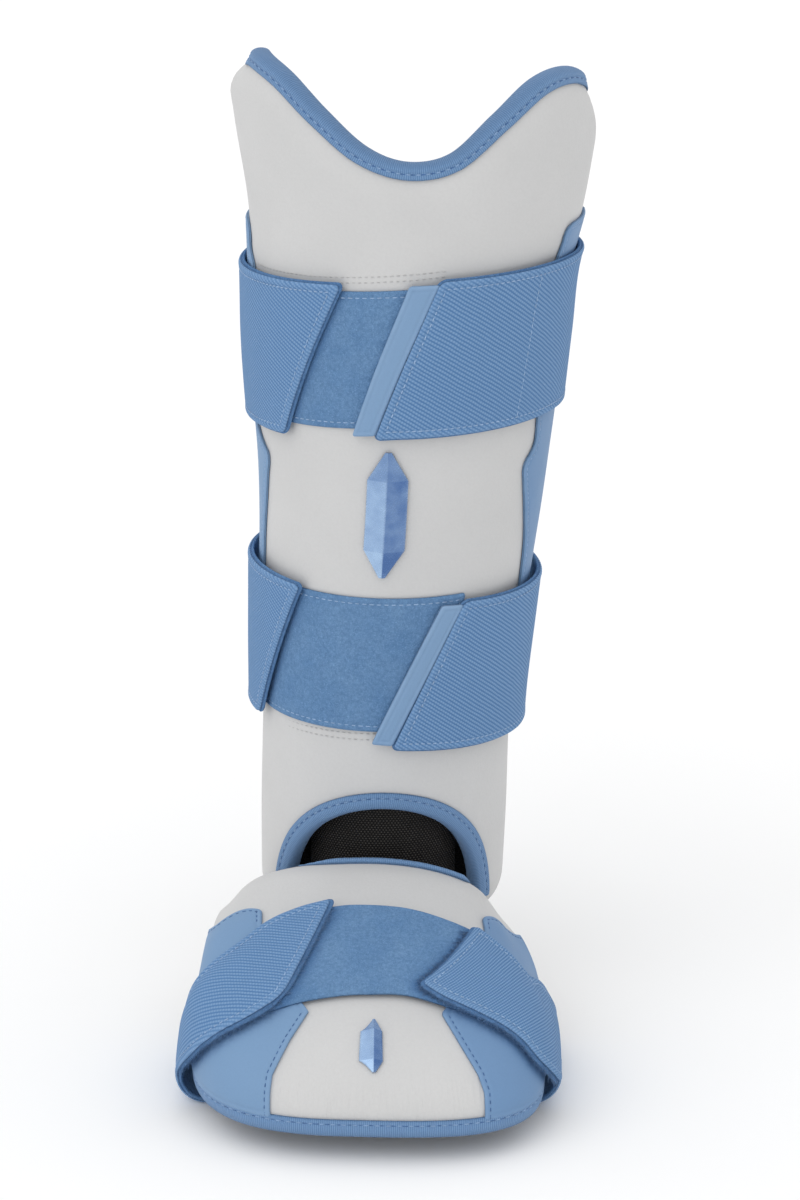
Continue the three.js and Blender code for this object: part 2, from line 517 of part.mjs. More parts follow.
piece('foot_panel_right', sidePanel(PANEL_RIGHT, false), LOOK.blueLeather);

// Loop panel across the dome.
const band = (rows) => {
  const r = indexed(rows);
  return Object.fromEntries(['upDeg', 'up', 'loDeg', 'lo'].map((c) => [c, through(r, 'n', c)]));
};
const loopBand = band(DOME_LOOP);
piece('foot_loop', bentBox(24, 4, (s, t, w) => onDome(
  lerp(loopBand.loDeg(s), loopBand.upDeg(s), t), lerp(loopBand.lo(s), loopBand.up(s), t), FOOT_LOOP.lift + w * FOOT_LOOP.thick)), LOOK.loopPile);

// Strap: down the left side, under the sole and up the right side.
const flapLeft = band(FLAP_LEFT);
const flapRight = band(FLAP_RIGHT);
const flapPoint = (flap, n, t, w) => domePoint(
  lerp(flap.upDeg(n), flap.loDeg(n), t), lerp(flap.up(n), flap.lo(n), t), FOOT_STRAP.lift + w * FOOT_STRAP.thick);
function turnPoint(flap, bend, t, w) {
  const deg = lerp(flap.upDeg(1), flap.loDeg(1), t);
  const r = SOLE.turnRadius + w * FOOT_STRAP.thick;
  const q = domePoint(deg, 0, FOOT_STRAP.lift - SOLE.turnRadius + r * Math.cos(bend));
  q.z = SOLE.turnHeight - r * Math.sin(bend);
  return q;
}
const STRAP_STOPS = [
  ...Array.from({ length: 15 }, (_, i) => ({ flap: flapLeft, n: i / 14 })),
  ...[0, 30, 60, 90].map((d) => ({ flap: flapLeft, bend: rad(d) })),
  ...[0.33, 0.67].map((k) => ({ sole: k })),
  ...[90, 60, 30, 0].map((d) => ({ flap: flapRight, bend: rad(d) })),
  ...Array.from({ length: 15 }, (_, i) => ({ flap: flapRight, n: 1 - i / 14 })),
];
piece('foot_strap', bentBox(STRAP_STOPS.length - 1, 4, (s, t, w) => {
  const stop = STRAP_STOPS[Math.round(s * (STRAP_STOPS.length - 1))];
  if (stop.sole) return turnPoint(flapLeft, rad(90), t, w).lerp(turnPoint(flapRight, rad(90), t, w), stop.sole);
  if (stop.bend !== undefined) return turnPoint(stop.flap, stop.bend, t, w);
  return flapPoint(stop.flap, stop.n, t, w);
}), LOOK.webbing);

// Badge on the dome.
piece('foot_badge', bentBox(4, 6, (s, t, w) => {
  const up = FOOT_BADGE.up + ((t - 0.5) * FOOT_BADGE.height) / 118;
  const across = (s - 0.5) * FOOT_BADGE.width * lozenge(t);
  const deg = FOOT_BADGE.deg + across / girthPerDegree(FOOT_BADGE.deg);
  return onDome(deg, up, ridge(FOOT_BADGE, s, t, w));
}), LOOK.badge);
function girthPerDegree(deg) { return (girthAt(deg + 3) - girthAt(deg - 3)) / 6; }

// Tongue: hangs behind the cut-out, its sides folded inwards, its foot tucked under the dome.
function tongueFold(deg) {
  const d = Math.abs(deg - TONGUE.centre);
  if (d < TONGUE.foldFrom) return 0;
  if (d < TONGUE.foldDeep) return -TONGUE.foldDepth * smoothstep(d, TONGUE.foldFrom, TONGUE.foldDeep);
  return -TONGUE.foldDepth * (1 - smoothstep(d, TONGUE.foldDeep, TONGUE.reach));
}
const TONGUE_COLUMNS = [-66, -61, -56, -52, -48, -30, -15, 0, 15, 30, 48, 52, 56, 61, 66];
piece('ankle_tongue', bentBox(TONGUE_COLUMNS.length - 1, TONGUE_ROWS.length - 1, (s, t, w) => {
  const from = TONGUE_COLUMNS[Math.round(s * (TONGUE_COLUMNS.length - 1))];
  const deg = from + TONGUE.centre;
  const row = TONGUE_ROWS[Math.round(t * (TONGUE_ROWS.length - 1))];
  const tuck = 1 - smoothstep(Math.abs(from), TONGUE.tuckFull, TONGUE.tuckNone);
  const lean = rad(row.lean * tuck);
  const q = shinPoint(deg, row.z, TONGUE.lift + tongueFold(deg) - (1 - w) * TONGUE.thick * Math.cos(lean));
  q.y -= row.forward * tuck;
  q.z -= (1 - w) * TONGUE.thick * Math.sin(lean);
  return q;
}), LOOK.nylon);

export default guard;
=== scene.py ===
"""Looks of a batter's lower-leg guard: padded leather shin and instep guards with taped edges,
elastic hook-and-loop straps, loop panels, leather side panels and a woven tongue.
Shapes are worked out in millimetres (ground at z = 0, front towards -Y) and shown in metres."""
import math

import bpy
import numpy as np
from mathutils import Matrix, Vector


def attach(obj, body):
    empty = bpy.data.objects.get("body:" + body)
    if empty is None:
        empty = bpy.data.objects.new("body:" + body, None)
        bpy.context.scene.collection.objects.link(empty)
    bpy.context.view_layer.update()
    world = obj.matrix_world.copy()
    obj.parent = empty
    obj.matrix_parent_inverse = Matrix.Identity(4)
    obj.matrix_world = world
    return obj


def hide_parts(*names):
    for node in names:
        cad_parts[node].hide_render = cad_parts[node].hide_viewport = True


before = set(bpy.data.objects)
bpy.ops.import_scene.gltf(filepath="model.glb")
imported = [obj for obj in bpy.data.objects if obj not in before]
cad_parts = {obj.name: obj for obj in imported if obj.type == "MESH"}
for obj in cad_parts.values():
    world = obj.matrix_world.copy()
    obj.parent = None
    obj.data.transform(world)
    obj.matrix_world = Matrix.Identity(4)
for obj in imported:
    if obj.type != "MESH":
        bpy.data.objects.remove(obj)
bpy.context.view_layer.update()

# ------------------------------------------------------------------ driving dimensions (mm)
ANKLE_HEIGHT = 75.0
PAD, GAP, INSIDE_GAP = 8.0, 0.5, 0.9
SHELL_REACH = 105.0
TOP_ROLL, TOP_ROLL_WIDTH = 3.6, 14.0
TOP_CURL = dict(left=7.0, leftFrom=51.0, leftFull=80.0, right=6.0, rightFrom=66.0, rightFull=88.0, width=14.5)
ARCH_ROLL, ARCH_INNER_ROLL, ARCH_ROLL_WIDTH = 2.0, 3.8, 9.0
TURNED_ROLL, TURNED_ROLL_WIDTH = 1.8, 7.0
ARCH = dict(centre=3.0, half=55.4, foot=45.0, rise=49.2, radius=47.0)
EAR_FROM, EAR_RISE = 86.0, 13.0
TAPE = 1.5
TOP_TAPE = dict(outer=3.6, inner=5.0, bulge=0.15)
ARCH_TAPE = dict(outer=4.9, inner=6.0, bulge=0.2)
TOE_TAPE = dict(outer=4.3, inner=5.0, bulge=0.55)
INSTEP_TAPE = dict(outer=1.2, inner=6.0, bulge=0.2)
INSTEP_FROM, INSTEP_TO = -40.0, 64.0
WING_LIFT, WING_END = 0.2, 97.0
HORN_SWELL = (0.6, 0.3)         # padding that swells below the tape at the shell's left and right top corners
SHIN_LOOP_LIFT = 0.15
STRAP_LIFT = 1.95
PANEL_LIFT, FOOT_LOOP_LIFT = 0.15, 1.55
FOOT_STRAP_LIFT, FOOT_STRAP_END_LIFT = 4.55, 3.1   # at the rim and at its two ends
STRAP_THICK = 2.5
SOLE_HEIGHT, SOLE_RADIUS = 11.5, 9.0
DOME_REACH = 105.0
RIM_ROLL, RIM_ROLL_WIDTH, RIM_INNER_ROLL = 1.5, 8.0, 1.8

# columns: z, cx, cy, left side, right side, front, back
SHIN_SECTIONS = np.array([
    [30, 0, 0, 45.5, 47, 45, 46], [75, 0.6, 0, 46, 48.2, 46, 47], [120, 2.6, 1, 46.8, 47.6, 48, 51],
    [165, 5, 2, 48.8, 49.8, 52, 56], [215, 8.4, 3, 52, 53.1, 57, 62], [245, 9.9, 3.6, 55.6, 55.1, 60.1, 64.8],
    [265, 11, 4, 57.6, 56, 62, 66], [290, 12.9, 4.6, 59.8, 56.6, 63.8, 66.2], [310, 14, 5, 61.5, 60.5, 65, 66],
    [345, 13.8, 5, 66.3, 66.3, 67, 66], [380, 13, 5, 69, 69, 68, 66]])
# columns: deg, z
TOP_EDGE = np.array([
    [-105, 336], [-90, 362.8], [-75, 367.1], [-60, 369.6], [-45, 364.7], [-30, 352.6], [-15, 340.4], [1, 335.4],
    [15, 338.4], [30, 351.3], [45, 362.4], [60, 364.6], [75, 359.2], [90, 349.8], [105, 334]])
# columns: z, deg
WING_RIGHT = np.array([
    [128, 71.2], [165, 70.4], [188, 68.3], [204.6, 62.6], [215, 59], [219.8, 57.9], [222.8, 59], [225.5, 62.5],
    [227.5, 64.2], [232, 64.7], [237, 64], [266, 64.1], [290, 63.4], [297.6, 63.4], [302.8, 64.7], [306.2, 65],
    [307.8, 66], [309.2, 68.4]])
WING_LEFT = np.array([
    [128, -73], [165, -72.5], [180, -72.4], [190, -71.9], [202, -69.1], [214.7, -65.7], [220.5, -63.6],
    [223.5, -64.2], [226, -69], [230, -76], [239, -79], [266, -77], [286, -70.5], [292.8, -71], [297, -76],
    [302, -76.5], [305, -78], [307.4, -81]])
LEG_STRAPS = {
    "upper": dict(z=267.6, tilt=4.8, width=57.0, left=(-21.0, -44.6), right=(11.5, -7.3), tab=(1.3, -15.7), off=0.3, drop=4.6),
    "lower": dict(z=147.4, tilt=-3.8, width=58.0, left=(-36.9, -64.0), right=(31.5, 6.0), tab=(22.3, -3.0), off=1.5, drop=0.0),
}
LEG_LOOPS = {
    "upper": dict(z=267.8, tilt=4.4, width=50.6, left=-57.0, right=52.0),
    "lower": dict(z=150.4, tilt=0.0, width=52.8, left=-69.0, right=33.5),
}
DOME = dict(rimFront=-150.0, rimZ=12.0, ankleFront=-45.5, ankleZ=72.3, rise=28.0, run=52.0, slope=24.0)
DOME_LEFT = dict(rimHalf=62.0, rimWide=-88.0, rimBack=-44.0, square=2.7, ankleHalf=50.0, ankleSide=-31.0,
                 ankleDrop=18.5, rise=43.0, run=27.0, slope=10.0)
DOME_RIGHT = dict(rimHalf=65.2, rimWide=-105.0, rimBack=-44.0, square=3.2, ankleHalf=45.2, ankleSide=-31.0,
                  ankleDrop=24.0, rise=28.0, run=13.0, slope=28.0)
# columns: outDeg, outUp, inDeg, inUp, bulge
PANEL_LEFT = np.array([
    [-102, 0.020, -21.9, 0.035, 0], [-102, 0.10, -22.5, 0.140, 0], [-102, 0.17, -22.5, 0.205, 0],
    [-102, 0.24, -18.3, 0.348, 0], [-101.5, 0.30, -13.8, 0.462, 0], [-101, 0.40, -47.6, 0.735, 0.06],
    [-100, 0.47, -51, 0.788, 0.09]])
PANEL_RIGHT = np.array([
    [102, 0.035, 34, 0.035, 0], [102, 0.125, 34.5, 0.150, 0], [102, 0.20, 32.7, 0.222, 0],
    [102, 0.27, 27, 0.342, 0], [102.3, 0.39, 21.6, 0.461, 0],
    [102.6, 0.53, 60.5, 0.739, 0.06], [102.8, 0.60, 62.2, 0.795, 0.07]])
# columns: upDeg, up, loDeg, lo
DOME_LOOP = np.array([
    [-88, 0.08, -75, 0.06], [-81, 0.27, -60, 0.172], [-64, 0.51, -46.6, 0.292], [-40, 0.72, -31, 0.408],
    [-14.5, 0.82, -14, 0.492], [10, 0.828, 5, 0.527], [34, 0.78, 21.5, 0.484], [57, 0.69, 40, 0.404],
    [80, 0.53, 58.3, 0.289], [93, 0.29, 70.5, 0.187], [96.5, 0.13, 81, 0.10]])
FLAP_LEFT = np.array([
    [-14.5, 0.832, -24.3, 0.478], [-29, 0.788, -30.5, 0.418], [-43.1, 0.714, -37.2, 0.36], [-55, 0.612, -46, 0.29],
    [-68, 0.475, -55.5, 0.207], [-81, 0.30, -64, 0.13], [-92, 0.13, -72, 0.065], [-99, 0, -79, 0]])
FLAP_RIGHT = np.array([
    [48.7, 0.731, 15.4, 0.548], [60.4, 0.657, 23, 0.496], [72.3, 0.576, 36, 0.43], [84.3, 0.492, 48.6, 0.361],
    [93, 0.40, 58.5, 0.29], [98, 0.28, 67, 0.205], [101, 0.14, 79, 0.105], [103.5, 0, 91, 0]])
# columns: z, forward, lean
TONGUE_ROWS = np.array([
    [51, 24, 64], [54, 14, 58], [58.4, 6, 42], [65, 1.2, 16], [75.5, 0, 0], [94, 0, 0], [112, 0, 0]])
TONGUE = dict(lift=-10.6, thick=1.6, reach=66.0, centre=3.5, foldFrom=48.0, foldDeep=56.0, foldDepth=6.5,
              tuckFull=24.0, tuckNone=50.0)
SHIN_BADGE = dict(deg=-2.5, z=209.0, width=16.0, height=48.0, edge=0.9, ridge=2.6)
FOOT_BADGE = dict(deg=1.5, up=0.345, width=8.5, height=23.0, edge=0.7, ridge=1.7)


# ------------------------------------------------------------------ helpers
def lerp(a, b, k):
    return a + (b - a) * k


def fade(d, width):
    return np.maximum(0.0, 1.0 - np.maximum(0.0, d) / width) ** 2


def smooth(x, a, b):
    k = np.clip((x - a) / (b - a), 0.0, 1.0)
    return k * k * (3 - 2 * k)


def unit(v):
    return v / np.maximum(np.linalg.norm(v, axis=-1, keepdims=True), 1e-12)


def through(x, y):
    """Smooth curve through the points (x, y)."""
    x, y = np.asarray(x, float), np.asarray(y, float)
    h = np.diff(x)
    d = np.diff(y) / h
    m = np.concatenate([[d[0]], (d[:-1] * h[1:] + d[1:] * h[:-1]) / (h[:-1] + h[1:]), [d[-1]]])

    def curve(v):
        v = np.asarray(v, float)
        i = np.clip(np.searchsorted(x, v, side="left") - 1, 0, len(h) - 1)
        t = np.clip((v - x[i]) / h[i], 0.0, 1.0)
        t2, t3 = t * t, t * t * t
        return ((2 * t3 - 3 * t2 + 1) * y[i] + (t3 - 2 * t2 + t) * h[i] * m[i]
                + (3 * t2 - 2 * t3) * y[i + 1] + (t3 - t2) * h[i] * m[i + 1])
    return curve


def ripple(p, size, seed):
    """Smooth, repeatable unevenness from -1 to 1 over points p, with features of about that size."""
    r = np.random.default_rng(seed)
    out = np.zeros(p.shape[:-1])
    for _ in range(7):
        k = unit(r.normal(size=3)) * (2 * math.pi / size) * r.uniform(0.6, 1.5)
        out += np.sin(p @ k + r.uniform(0, 6.283))
    return out / 4.2


# ------------------------------------------------------------------ the shin's surface
SECTION = {c: through(SHIN_SECTIONS[:, 0], SHIN_SECTIONS[:, i + 1]) for i, c in enumerate(("cx", "cy", "side", "right", "front", "back"))}


def shin_point(deg, z, off):
    deg, z, off = np.broadcast_arrays(np.asarray(deg, float), np.asarray(z, float), np.asarray(off, float))
    s, c = np.sin(np.radians(deg)), np.cos(np.radians(deg))
    a = np.where(s >= 0, SECTION["right"](z), SECTION["side"](z))
    b = np.where(c >= 0, SECTION["front"](z), SECTION["back"](z))
    nx, ny = s / a, -c / b
    n = np.hypot(nx, ny)
    return np.stack([SECTION["cx"](z) + a * s + off * nx / n, SECTION["cy"](z) - b * c + off * ny / n, z], -1)


top_edge = through(TOP_EDGE[:, 0], TOP_EDGE[:, 1])


def top_slope(deg):
    return (top_edge(deg + 0.5) - top_edge(deg - 0.5)) / (math.radians(1) * 66)


def low_edge(deg):
    deg = np.asarray(deg, float)
    u = (deg - ARCH["centre"]) / ARCH["half"]
    k = np.clip((np.abs(deg) - EAR_FROM) / (SHELL_REACH - EAR_FROM), 0, 1)
    return np.where(np.abs(u) < 1, ARCH["foot"] + ARCH["rise"] * np.sqrt(np.maximum(0, 1 - u * u)),
                    ARCH["foot"] + EAR_RISE * (1 - np.sqrt(np.maximum(0, 1 - k * k))))


def top_curl(deg, z):
    k = TOP_CURL
    return fade((top_edge(deg) - z) / np.hypot(1, top_slope(deg)), k["width"]) * (
        k["left"] * smooth(-deg, k["leftFrom"], k["leftFull"]) + k["right"] * smooth(deg, k["rightFrom"], k["rightFull"]))


def shin_rolls(deg, z):
    top = fade((top_edge(deg) - z) / np.hypot(1, top_slope(deg)), TOP_ROLL_WIDTH)
    arch = fade((np.hypot((deg - ARCH["centre"]) / ARCH["half"], np.maximum(0, z - ARCH["foot"]) / ARCH["rise"]) - 1)
                * ARCH["radius"], ARCH_ROLL_WIDTH)
    side = fade(np.radians(SHELL_REACH - np.abs(deg)) * SECTION["side"](z), TURNED_ROLL_WIDTH)
    ear = fade(np.where(np.abs(deg - ARCH["centre"]) < ARCH["half"], 99.0, z - low_edge(deg)), TURNED_ROLL_WIDTH)
    return top, arch, np.maximum(side, ear)


def horn(deg, z):
    d = (top_edge(deg) - z) / np.hypot(1, top_slope(deg))
    return (HORN_SWELL[0] * smooth(-deg, 55, 78) + HORN_SWELL[1] * smooth(deg, 62, 84)) * smooth(d, 2.6, 6.0) * (1 - smooth(d, 7.0, 20.0))


def on_shin(deg, z, lift):
    deg, z = np.asarray(deg, float), np.asarray(z, float)
    top, arch, turned = shin_rolls(deg, z)
    return shin_point(deg, z, lift - TOP_ROLL * top - ARCH_ROLL * arch - TURNED_ROLL * turned - top_curl(deg, z))


def in_shin(deg, z, lift):
    deg, z = np.asarray(deg, float), np.asarray(z, float)
    top, arch, turned = shin_rolls(deg, z)
    return shin_point(deg, z, -PAD + 0.9 * top + ARCH_INNER_ROLL * arch + TURNED_ROLL * turned - top_curl(deg, z) - lift)


# ------------------------------------------------------------------ the instep dome's surface
def half(deg, name):
    return np.where(deg < 0, DOME_LEFT[name], DOME_RIGHT[name])


def rim_point(deg):
    s, c = np.sin(np.radians(deg)), np.cos(np.radians(deg))
    n = 2 / half(deg, "square")
    wide = half(deg, "rimWide")
    g = np.clip((np.abs(deg) - 90) / (DOME_REACH - 90), 0, 1)
    x = half(deg, "rimHalf") * np.sign(s) * np.where(c >= 0, np.abs(s) ** n, 1 - 0.05 * g * g)
    y = np.where(c >= 0, wide + (DOME["rimFront"] - wide) * np.maximum(c, 0) ** n, lerp(wide, half(deg, "rimBack"), g))
    return np.stack([x, y, np.full(np.shape(x), DOME["rimZ"])], -1)


def ankle_point(deg):
    t = math.pi / 2 * np.clip(deg / DOME_REACH, -1, 1)
    return np.stack([half(deg, "ankleHalf") * np.sin(t), lerp(half(deg, "ankleSide"), DOME["ankleFront"], np.cos(t)),
                     DOME["ankleZ"] - half(deg, "ankleDrop") * (1 - np.cos(t))], -1)


def dome_shape(deg):
    f = np.maximum(0, np.cos(np.radians(deg))) ** 1.2
    return (lerp(half(deg, "rise"), DOME["rise"], f), lerp(half(deg, "run"), DOME["run"], f),
            np.radians(lerp(half(deg, "slope"), DOME["slope"], f)))


def dome_base(deg, up):
    deg, up = np.broadcast_arrays(np.asarray(deg, float), np.asarray(up, float))
    up = np.clip(up, 0, 1)[..., None]
    r, a = rim_point(deg), ankle_point(deg)
    rise, run, slope = dome_shape(deg)
    flat = unit((r - a)[..., :2])
    p1 = r + np.stack([0 * rise, 0 * rise, rise], -1)
    p2 = a + run[..., None] * np.concatenate([flat * np.cos(slope)[..., None], -np.sin(slope)[..., None]], -1)
    k = 1 - up
    return k ** 3 * r + 3 * k * k * up * p1 + 3 * k * up * up * p2 + up ** 3 * a


def dome_point(deg, up, off):
    deg, up, off = np.broadcast_arrays(np.asarray(deg, float), np.asarray(up, float), np.asarray(off, float))
    e = 0.002
    du = dome_base(deg + 0.1, up) - dome_base(deg - 0.1, up)
    dv = dome_base(deg, np.minimum(1, up + e)) - dome_base(deg, np.maximum(0, up - e))
    return dome_base(deg, up) + unit(np.cross(du, dv)) * off[..., None]


def dome_rolls(deg, up):
    rise, run, _ = dome_shape(deg)
    edge = fade(up * 3 * rise, RIM_ROLL_WIDTH) + fade((1 - up) * 3 * run, RIM_ROLL_WIDTH)
    back = np.linalg.norm(dome_base(deg, up) - dome_base(np.where(deg < 0, -DOME_REACH, DOME_REACH), up), axis=-1)
    return edge, fade(back, TURNED_ROLL_WIDTH)


def on_dome(deg, up, lift):
    deg, up = np.broadcast_arrays(np.asarray(deg, float), np.asarray(up, float))
    edge, back = dome_rolls(deg, up)
    return dome_point(deg, up, lift - RIM_ROLL * edge - TURNED_ROLL * back)


def in_dome(deg, up, lift):
    deg, up = np.broadcast_arrays(np.asarray(deg, float), np.asarray(up, float))
    edge, back = dome_rolls(deg, up)
    return dome_point(deg, up, -PAD + RIM_INNER_ROLL * edge + TURNED_ROLL * back - lift)


# angles at even steps round the dome, closer together where its outline turns
_D = np.arange(-DOME_REACH, DOME_REACH + 0.01, 0.05)
_B = dome_base(_D, 0.2)
_STEP = np.diff(_B, axis=0)
_TURN = np.arccos(np.clip((unit(_STEP[:-1]) * unit(_STEP[1:])).sum(-1), -1, 1))
_LEN = np.linalg.norm(_STEP, axis=1)
_GIRTH = np.concatenate([[0], np.cumsum(_LEN + 25 * np.concatenate([_TURN, [0]]))])
_ARC = np.concatenate([[0], np.cumsum(_LEN)])


def girth_lerp(d0, d1, s):
    return np.interp(lerp(np.interp(d0, _D, _GIRTH), np.interp(d1, _D, _GIRTH), s), _GIRTH, _D)


# ------------------------------------------------------------------ mesh making
def grid_quads(nu, nv):
    i, j = np.meshgrid(np.arange(nu - 1), np.arange(nv - 1), indexing="ij")
    a = (i * nv + j).ravel()
    return np.stack([a, a + nv, a + nv + 1, a + 1], 1)


def border(nu, nv):
    """Indices round the edge of a grid, in order."""
    return np.concatenate([np.arange(nu - 1) * nv, (nu - 1) * nv + np.arange(nv - 1),
                           np.arange(nu - 1, 0, -1) * nv + nv - 1, np.arange(nv - 1, 0, -1)])


def strip(a, b):
    """Quads between two closed rings of indices."""
    return np.stack([a, b, np.roll(b, -1), np.roll(a, -1)], 1)


def volume(v, q):
    a, b, c, d = (v[q[:, i]] for i in range(4))
    return ((a * np.cross(b, c)).sum() + (a * np.cross(c, d)).sum()) / 6


class Body:
    """Vertices, faces and what goes with them, gathered before a mesh is made."""

    def __init__(self):
        self.v, self.uv, self.edge, self.q, self.m, self.n = [], [], [], [], [], 0

    def add(self, v, uv=None, edge=0.0):
        v = np.asarray(v, float).reshape(-1, 3)
        first = self.n
        self.v.append(v)
        self.uv.append(np.zeros((len(v), 2)) if uv is None else np.asarray(uv, float).reshape(-1, 2))
        self.edge.append(np.broadcast_to(np.asarray(edge, float).ravel() if np.ndim(edge) else edge, (len(v),)))
        self.n += len(v)
        return first

    def faces(self, q, mat=0):
        self.q.append(np.asarray(q, int))
        self.m.append(np.full(len(q), mat))


PIECES = {}


def emit(name, body, materials, flat=False):
    v, q = np.concatenate(body.v), np.concatenate(body.q)
    uv, edge, mat = np.concatenate(body.uv), np.concatenate(body.edge), np.concatenate(body.m)
    if volume(v - v.mean(0), q) < 0:
        q = q[:, ::-1]
    co = v.copy()
    co[:, 2] -= ANKLE_HEIGHT
    mesh = bpy.data.meshes.new(name)
    mesh.vertices.add(len(co))
    mesh.vertices.foreach_set("co", (co * 0.001).astype(np.float32).ravel())
    mesh.loops.add(q.size)
    mesh.loops.foreach_set("vertex_index", q.astype(np.int32).ravel())
    mesh.polygons.add(len(q))
    mesh.polygons.foreach_set("loop_start", np.arange(0, q.size, 4, dtype=np.int32))
    mesh.polygons.foreach_set("material_index", mat.astype(np.int32))
    mesh.update(calc_edges=True)
    layer = mesh.uv_layers.new(name="Size")
    layer.data.foreach_set("uv", (uv * 0.001)[q.ravel()].astype(np.float32).ravel())
    attribute = mesh.attributes.new("edge", "FLOAT", "POINT")
    attribute.data.foreach_set("value", edge.astype(np.float32))
    mesh.polygons.foreach_set("use_smooth", np.full(len(q), not flat))
    mesh.update()
    for m in materials:
        mesh.materials.append(m)
    o = bpy.data.objects.new(name, mesh)
    bpy.context.scene.collection.objects.link(o)
    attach(o, "root")
    PIECES[name] = o
    return o


class Patch:
    """A four-sided piece of surface: at(s, t, h) gives the point at height h over it."""

    def __init__(self, at, uv=None):
        self.at = at
        k = np.linspace(0, 1, 201)
        h = np.full(201, 1.0)
        self.us = np.concatenate([[0], np.cumsum(np.linalg.norm(np.diff(at(k, 0 * k + 0.5, h), axis=0), axis=1))])
        self.vt = np.concatenate([[0], np.cumsum(np.linalg.norm(np.diff(at(0 * k + 0.5, k, h), axis=0), axis=1))])
        self.k = k
        self.uv = uv or (lambda s, t: (np.interp(s, k, self.us), np.interp(t, k, self.vt)))

    def reach(self, s, t):
        """Millimetres between s edges for a unit of s, and between t edges for a unit of t."""
        s, t = np.broadcast_arrays(np.asarray(s, float), np.asarray(t, float))
        h, e = np.full(s.shape, 1.0), 2e-3
        s0, s1, t0, t1 = np.maximum(0, s - e), np.minimum(1, s + e), np.maximum(0, t - e), np.minimum(1, t + e)
        ps = (self.at(s1, t, h) - self.at(s0, t, h)) / (s1 - s0)[..., None]
        pt = (self.at(s, t1, h) - self.at(s, t0, h)) / (t1 - t0)[..., None]
        c = np.linalg.norm(np.cross(ps, pt), axis=-1)
        return c / np.linalg.norm(pt, axis=-1), c / np.linalg.norm(ps, axis=-1)

    def inset(self, side, q, d):
        """(s, t) at d millimetres inside an edge, q along it."""
        q = np.asarray(q, float)
        if side in ("s0", "s1"):
            e = 0.0 if side == "s0" else 1.0
            k = d / self.reach(np.full(q.shape, e), q)[0]
            return (k if e == 0 else 1 - k), q
        e = 0.0 if side == "t0" else 1.0
        k = d / self.reach(q, np.full(q.shape, e))[1]
        return q, (k if e == 0 else 1 - k)


def slab(patch, ns, nt, top, side, corner=0.0, puff=None, under=0, fs=None):
    """A closed slab over a patch. top lists (inset, height) from the border inwards, side the same
    from the border down to the underside."""
    ins, hts = (np.array(x, float) for x in zip(*top))
    m = len(ins)
    f_s = (np.arange(1, ns) / ns) if fs is None else fs
    f_t = np.arange(1, nt) / nt
    nu, nv = 2 * m + len(f_s), 2 * m + len(f_t)
    col = np.concatenate([np.full(m, -1), np.zeros(len(f_s), int), np.full(m, 1)])
    row = np.concatenate([np.full(m, -1), np.zeros(len(f_t), int), np.full(m, 1)])

    def axis(d, lo, hi, f):
        """Parameters along one axis, for insets d and unit lengths lo and hi at the two ends."""
        a, b = d[:, None] / lo, 1 - d[::-1, None] / hi
        return np.concatenate([a, a[-1:] + (b[:1] - a[-1:]) * f[:, None], b])

    def coords(e):
        d = ins + e
        one = np.array([0.5])
        s_mid = axis(d, patch.reach(0 * one, one)[0], patch.reach(0 * one + 1, one)[0], f_s)[:, 0]
        t_mid = axis(d, patch.reach(one, 0 * one)[1], patch.reach(one, 0 * one + 1)[1], f_t)[:, 0]
        s_in, t_in = np.clip(s_mid, 0, 1), np.clip(t_mid, 0, 1)
        k_l, k_r = patch.reach(0 * t_in, t_in)[0], patch.reach(0 * t_in + 1, t_in)[0]
        k_b, k_t = patch.reach(s_in, 0 * s_in)[1], patch.reach(s_in, 0 * s_in + 1)[1]
        s = axis(d, k_l, k_r, f_s)
        t = axis(d, k_b, k_t, f_t).T
        ds = np.concatenate([d, np.full(len(f_s), 1e6), d[::-1]])[:, None] + np.zeros((1, nv))
        dt = np.concatenate([d, np.full(len(f_t), 1e6), d[::-1]])[None, :] + np.zeros((nu, 1))
        near = np.minimum(ds, dt)
        if corner > 0:
            p, q = (corner - ds) / corner, (corner - dt) / corner
            turn = (p > 0) & (q > 0)
            big = np.maximum(p, q) / np.maximum(np.hypot(p, q), 1e-9)
            ds2, dt2 = corner * (1 - p * big), corner * (1 - q * big)
            left, low = (col == -1)[:, None], (row == -1)[None, :]
            s = np.where(turn, np.where(left, ds2 / k_l, 1 - ds2 / k_r), s)
            t = np.where(turn, np.where(low, dt2 / k_b[:, None], 1 - dt2 / k_t[:, None]), t)
        return s, t, near - e

    s, t, d = coords(0.0)
    h = np.interp(d, ins, hts)
    if puff is not None:
        h = h + puff(s, t, d, patch)
    body = Body()

    def put(s, t, h, e):
        u, v = patch.uv(s, t)
        return body.add(patch.at(s, t, h), np.stack([u, v], -1), e)
    body.first_top = put(s, t, h, np.exp(-d / 1.2))
    body.faces(grid_quads(nu, nv))
    ring = border(nu, nv)
    for i, (e, hh) in enumerate(side[:-1]):
        s, t, d = coords(e)
        sel = np.unravel_index(border(nu, nv), (nu, nv))
        first = put(s[sel], t[sel], np.full(len(sel[0]), hh), 1.0)
        now = first + np.arange(len(sel[0]))
        body.faces(strip(now, ring), under if i > 2 else 0)
        ring = now
    e, hh = side[-1]
    s, t, d = coords(e)
    first = put(s, t, np.full(s.shape, hh), 0.3)
    body.faces(grid_quads(nu, nv)[:, ::-1] + first, under)
    body.faces(strip(first + border(nu, nv), ring), under if len(side) > 4 else 0)
    return body


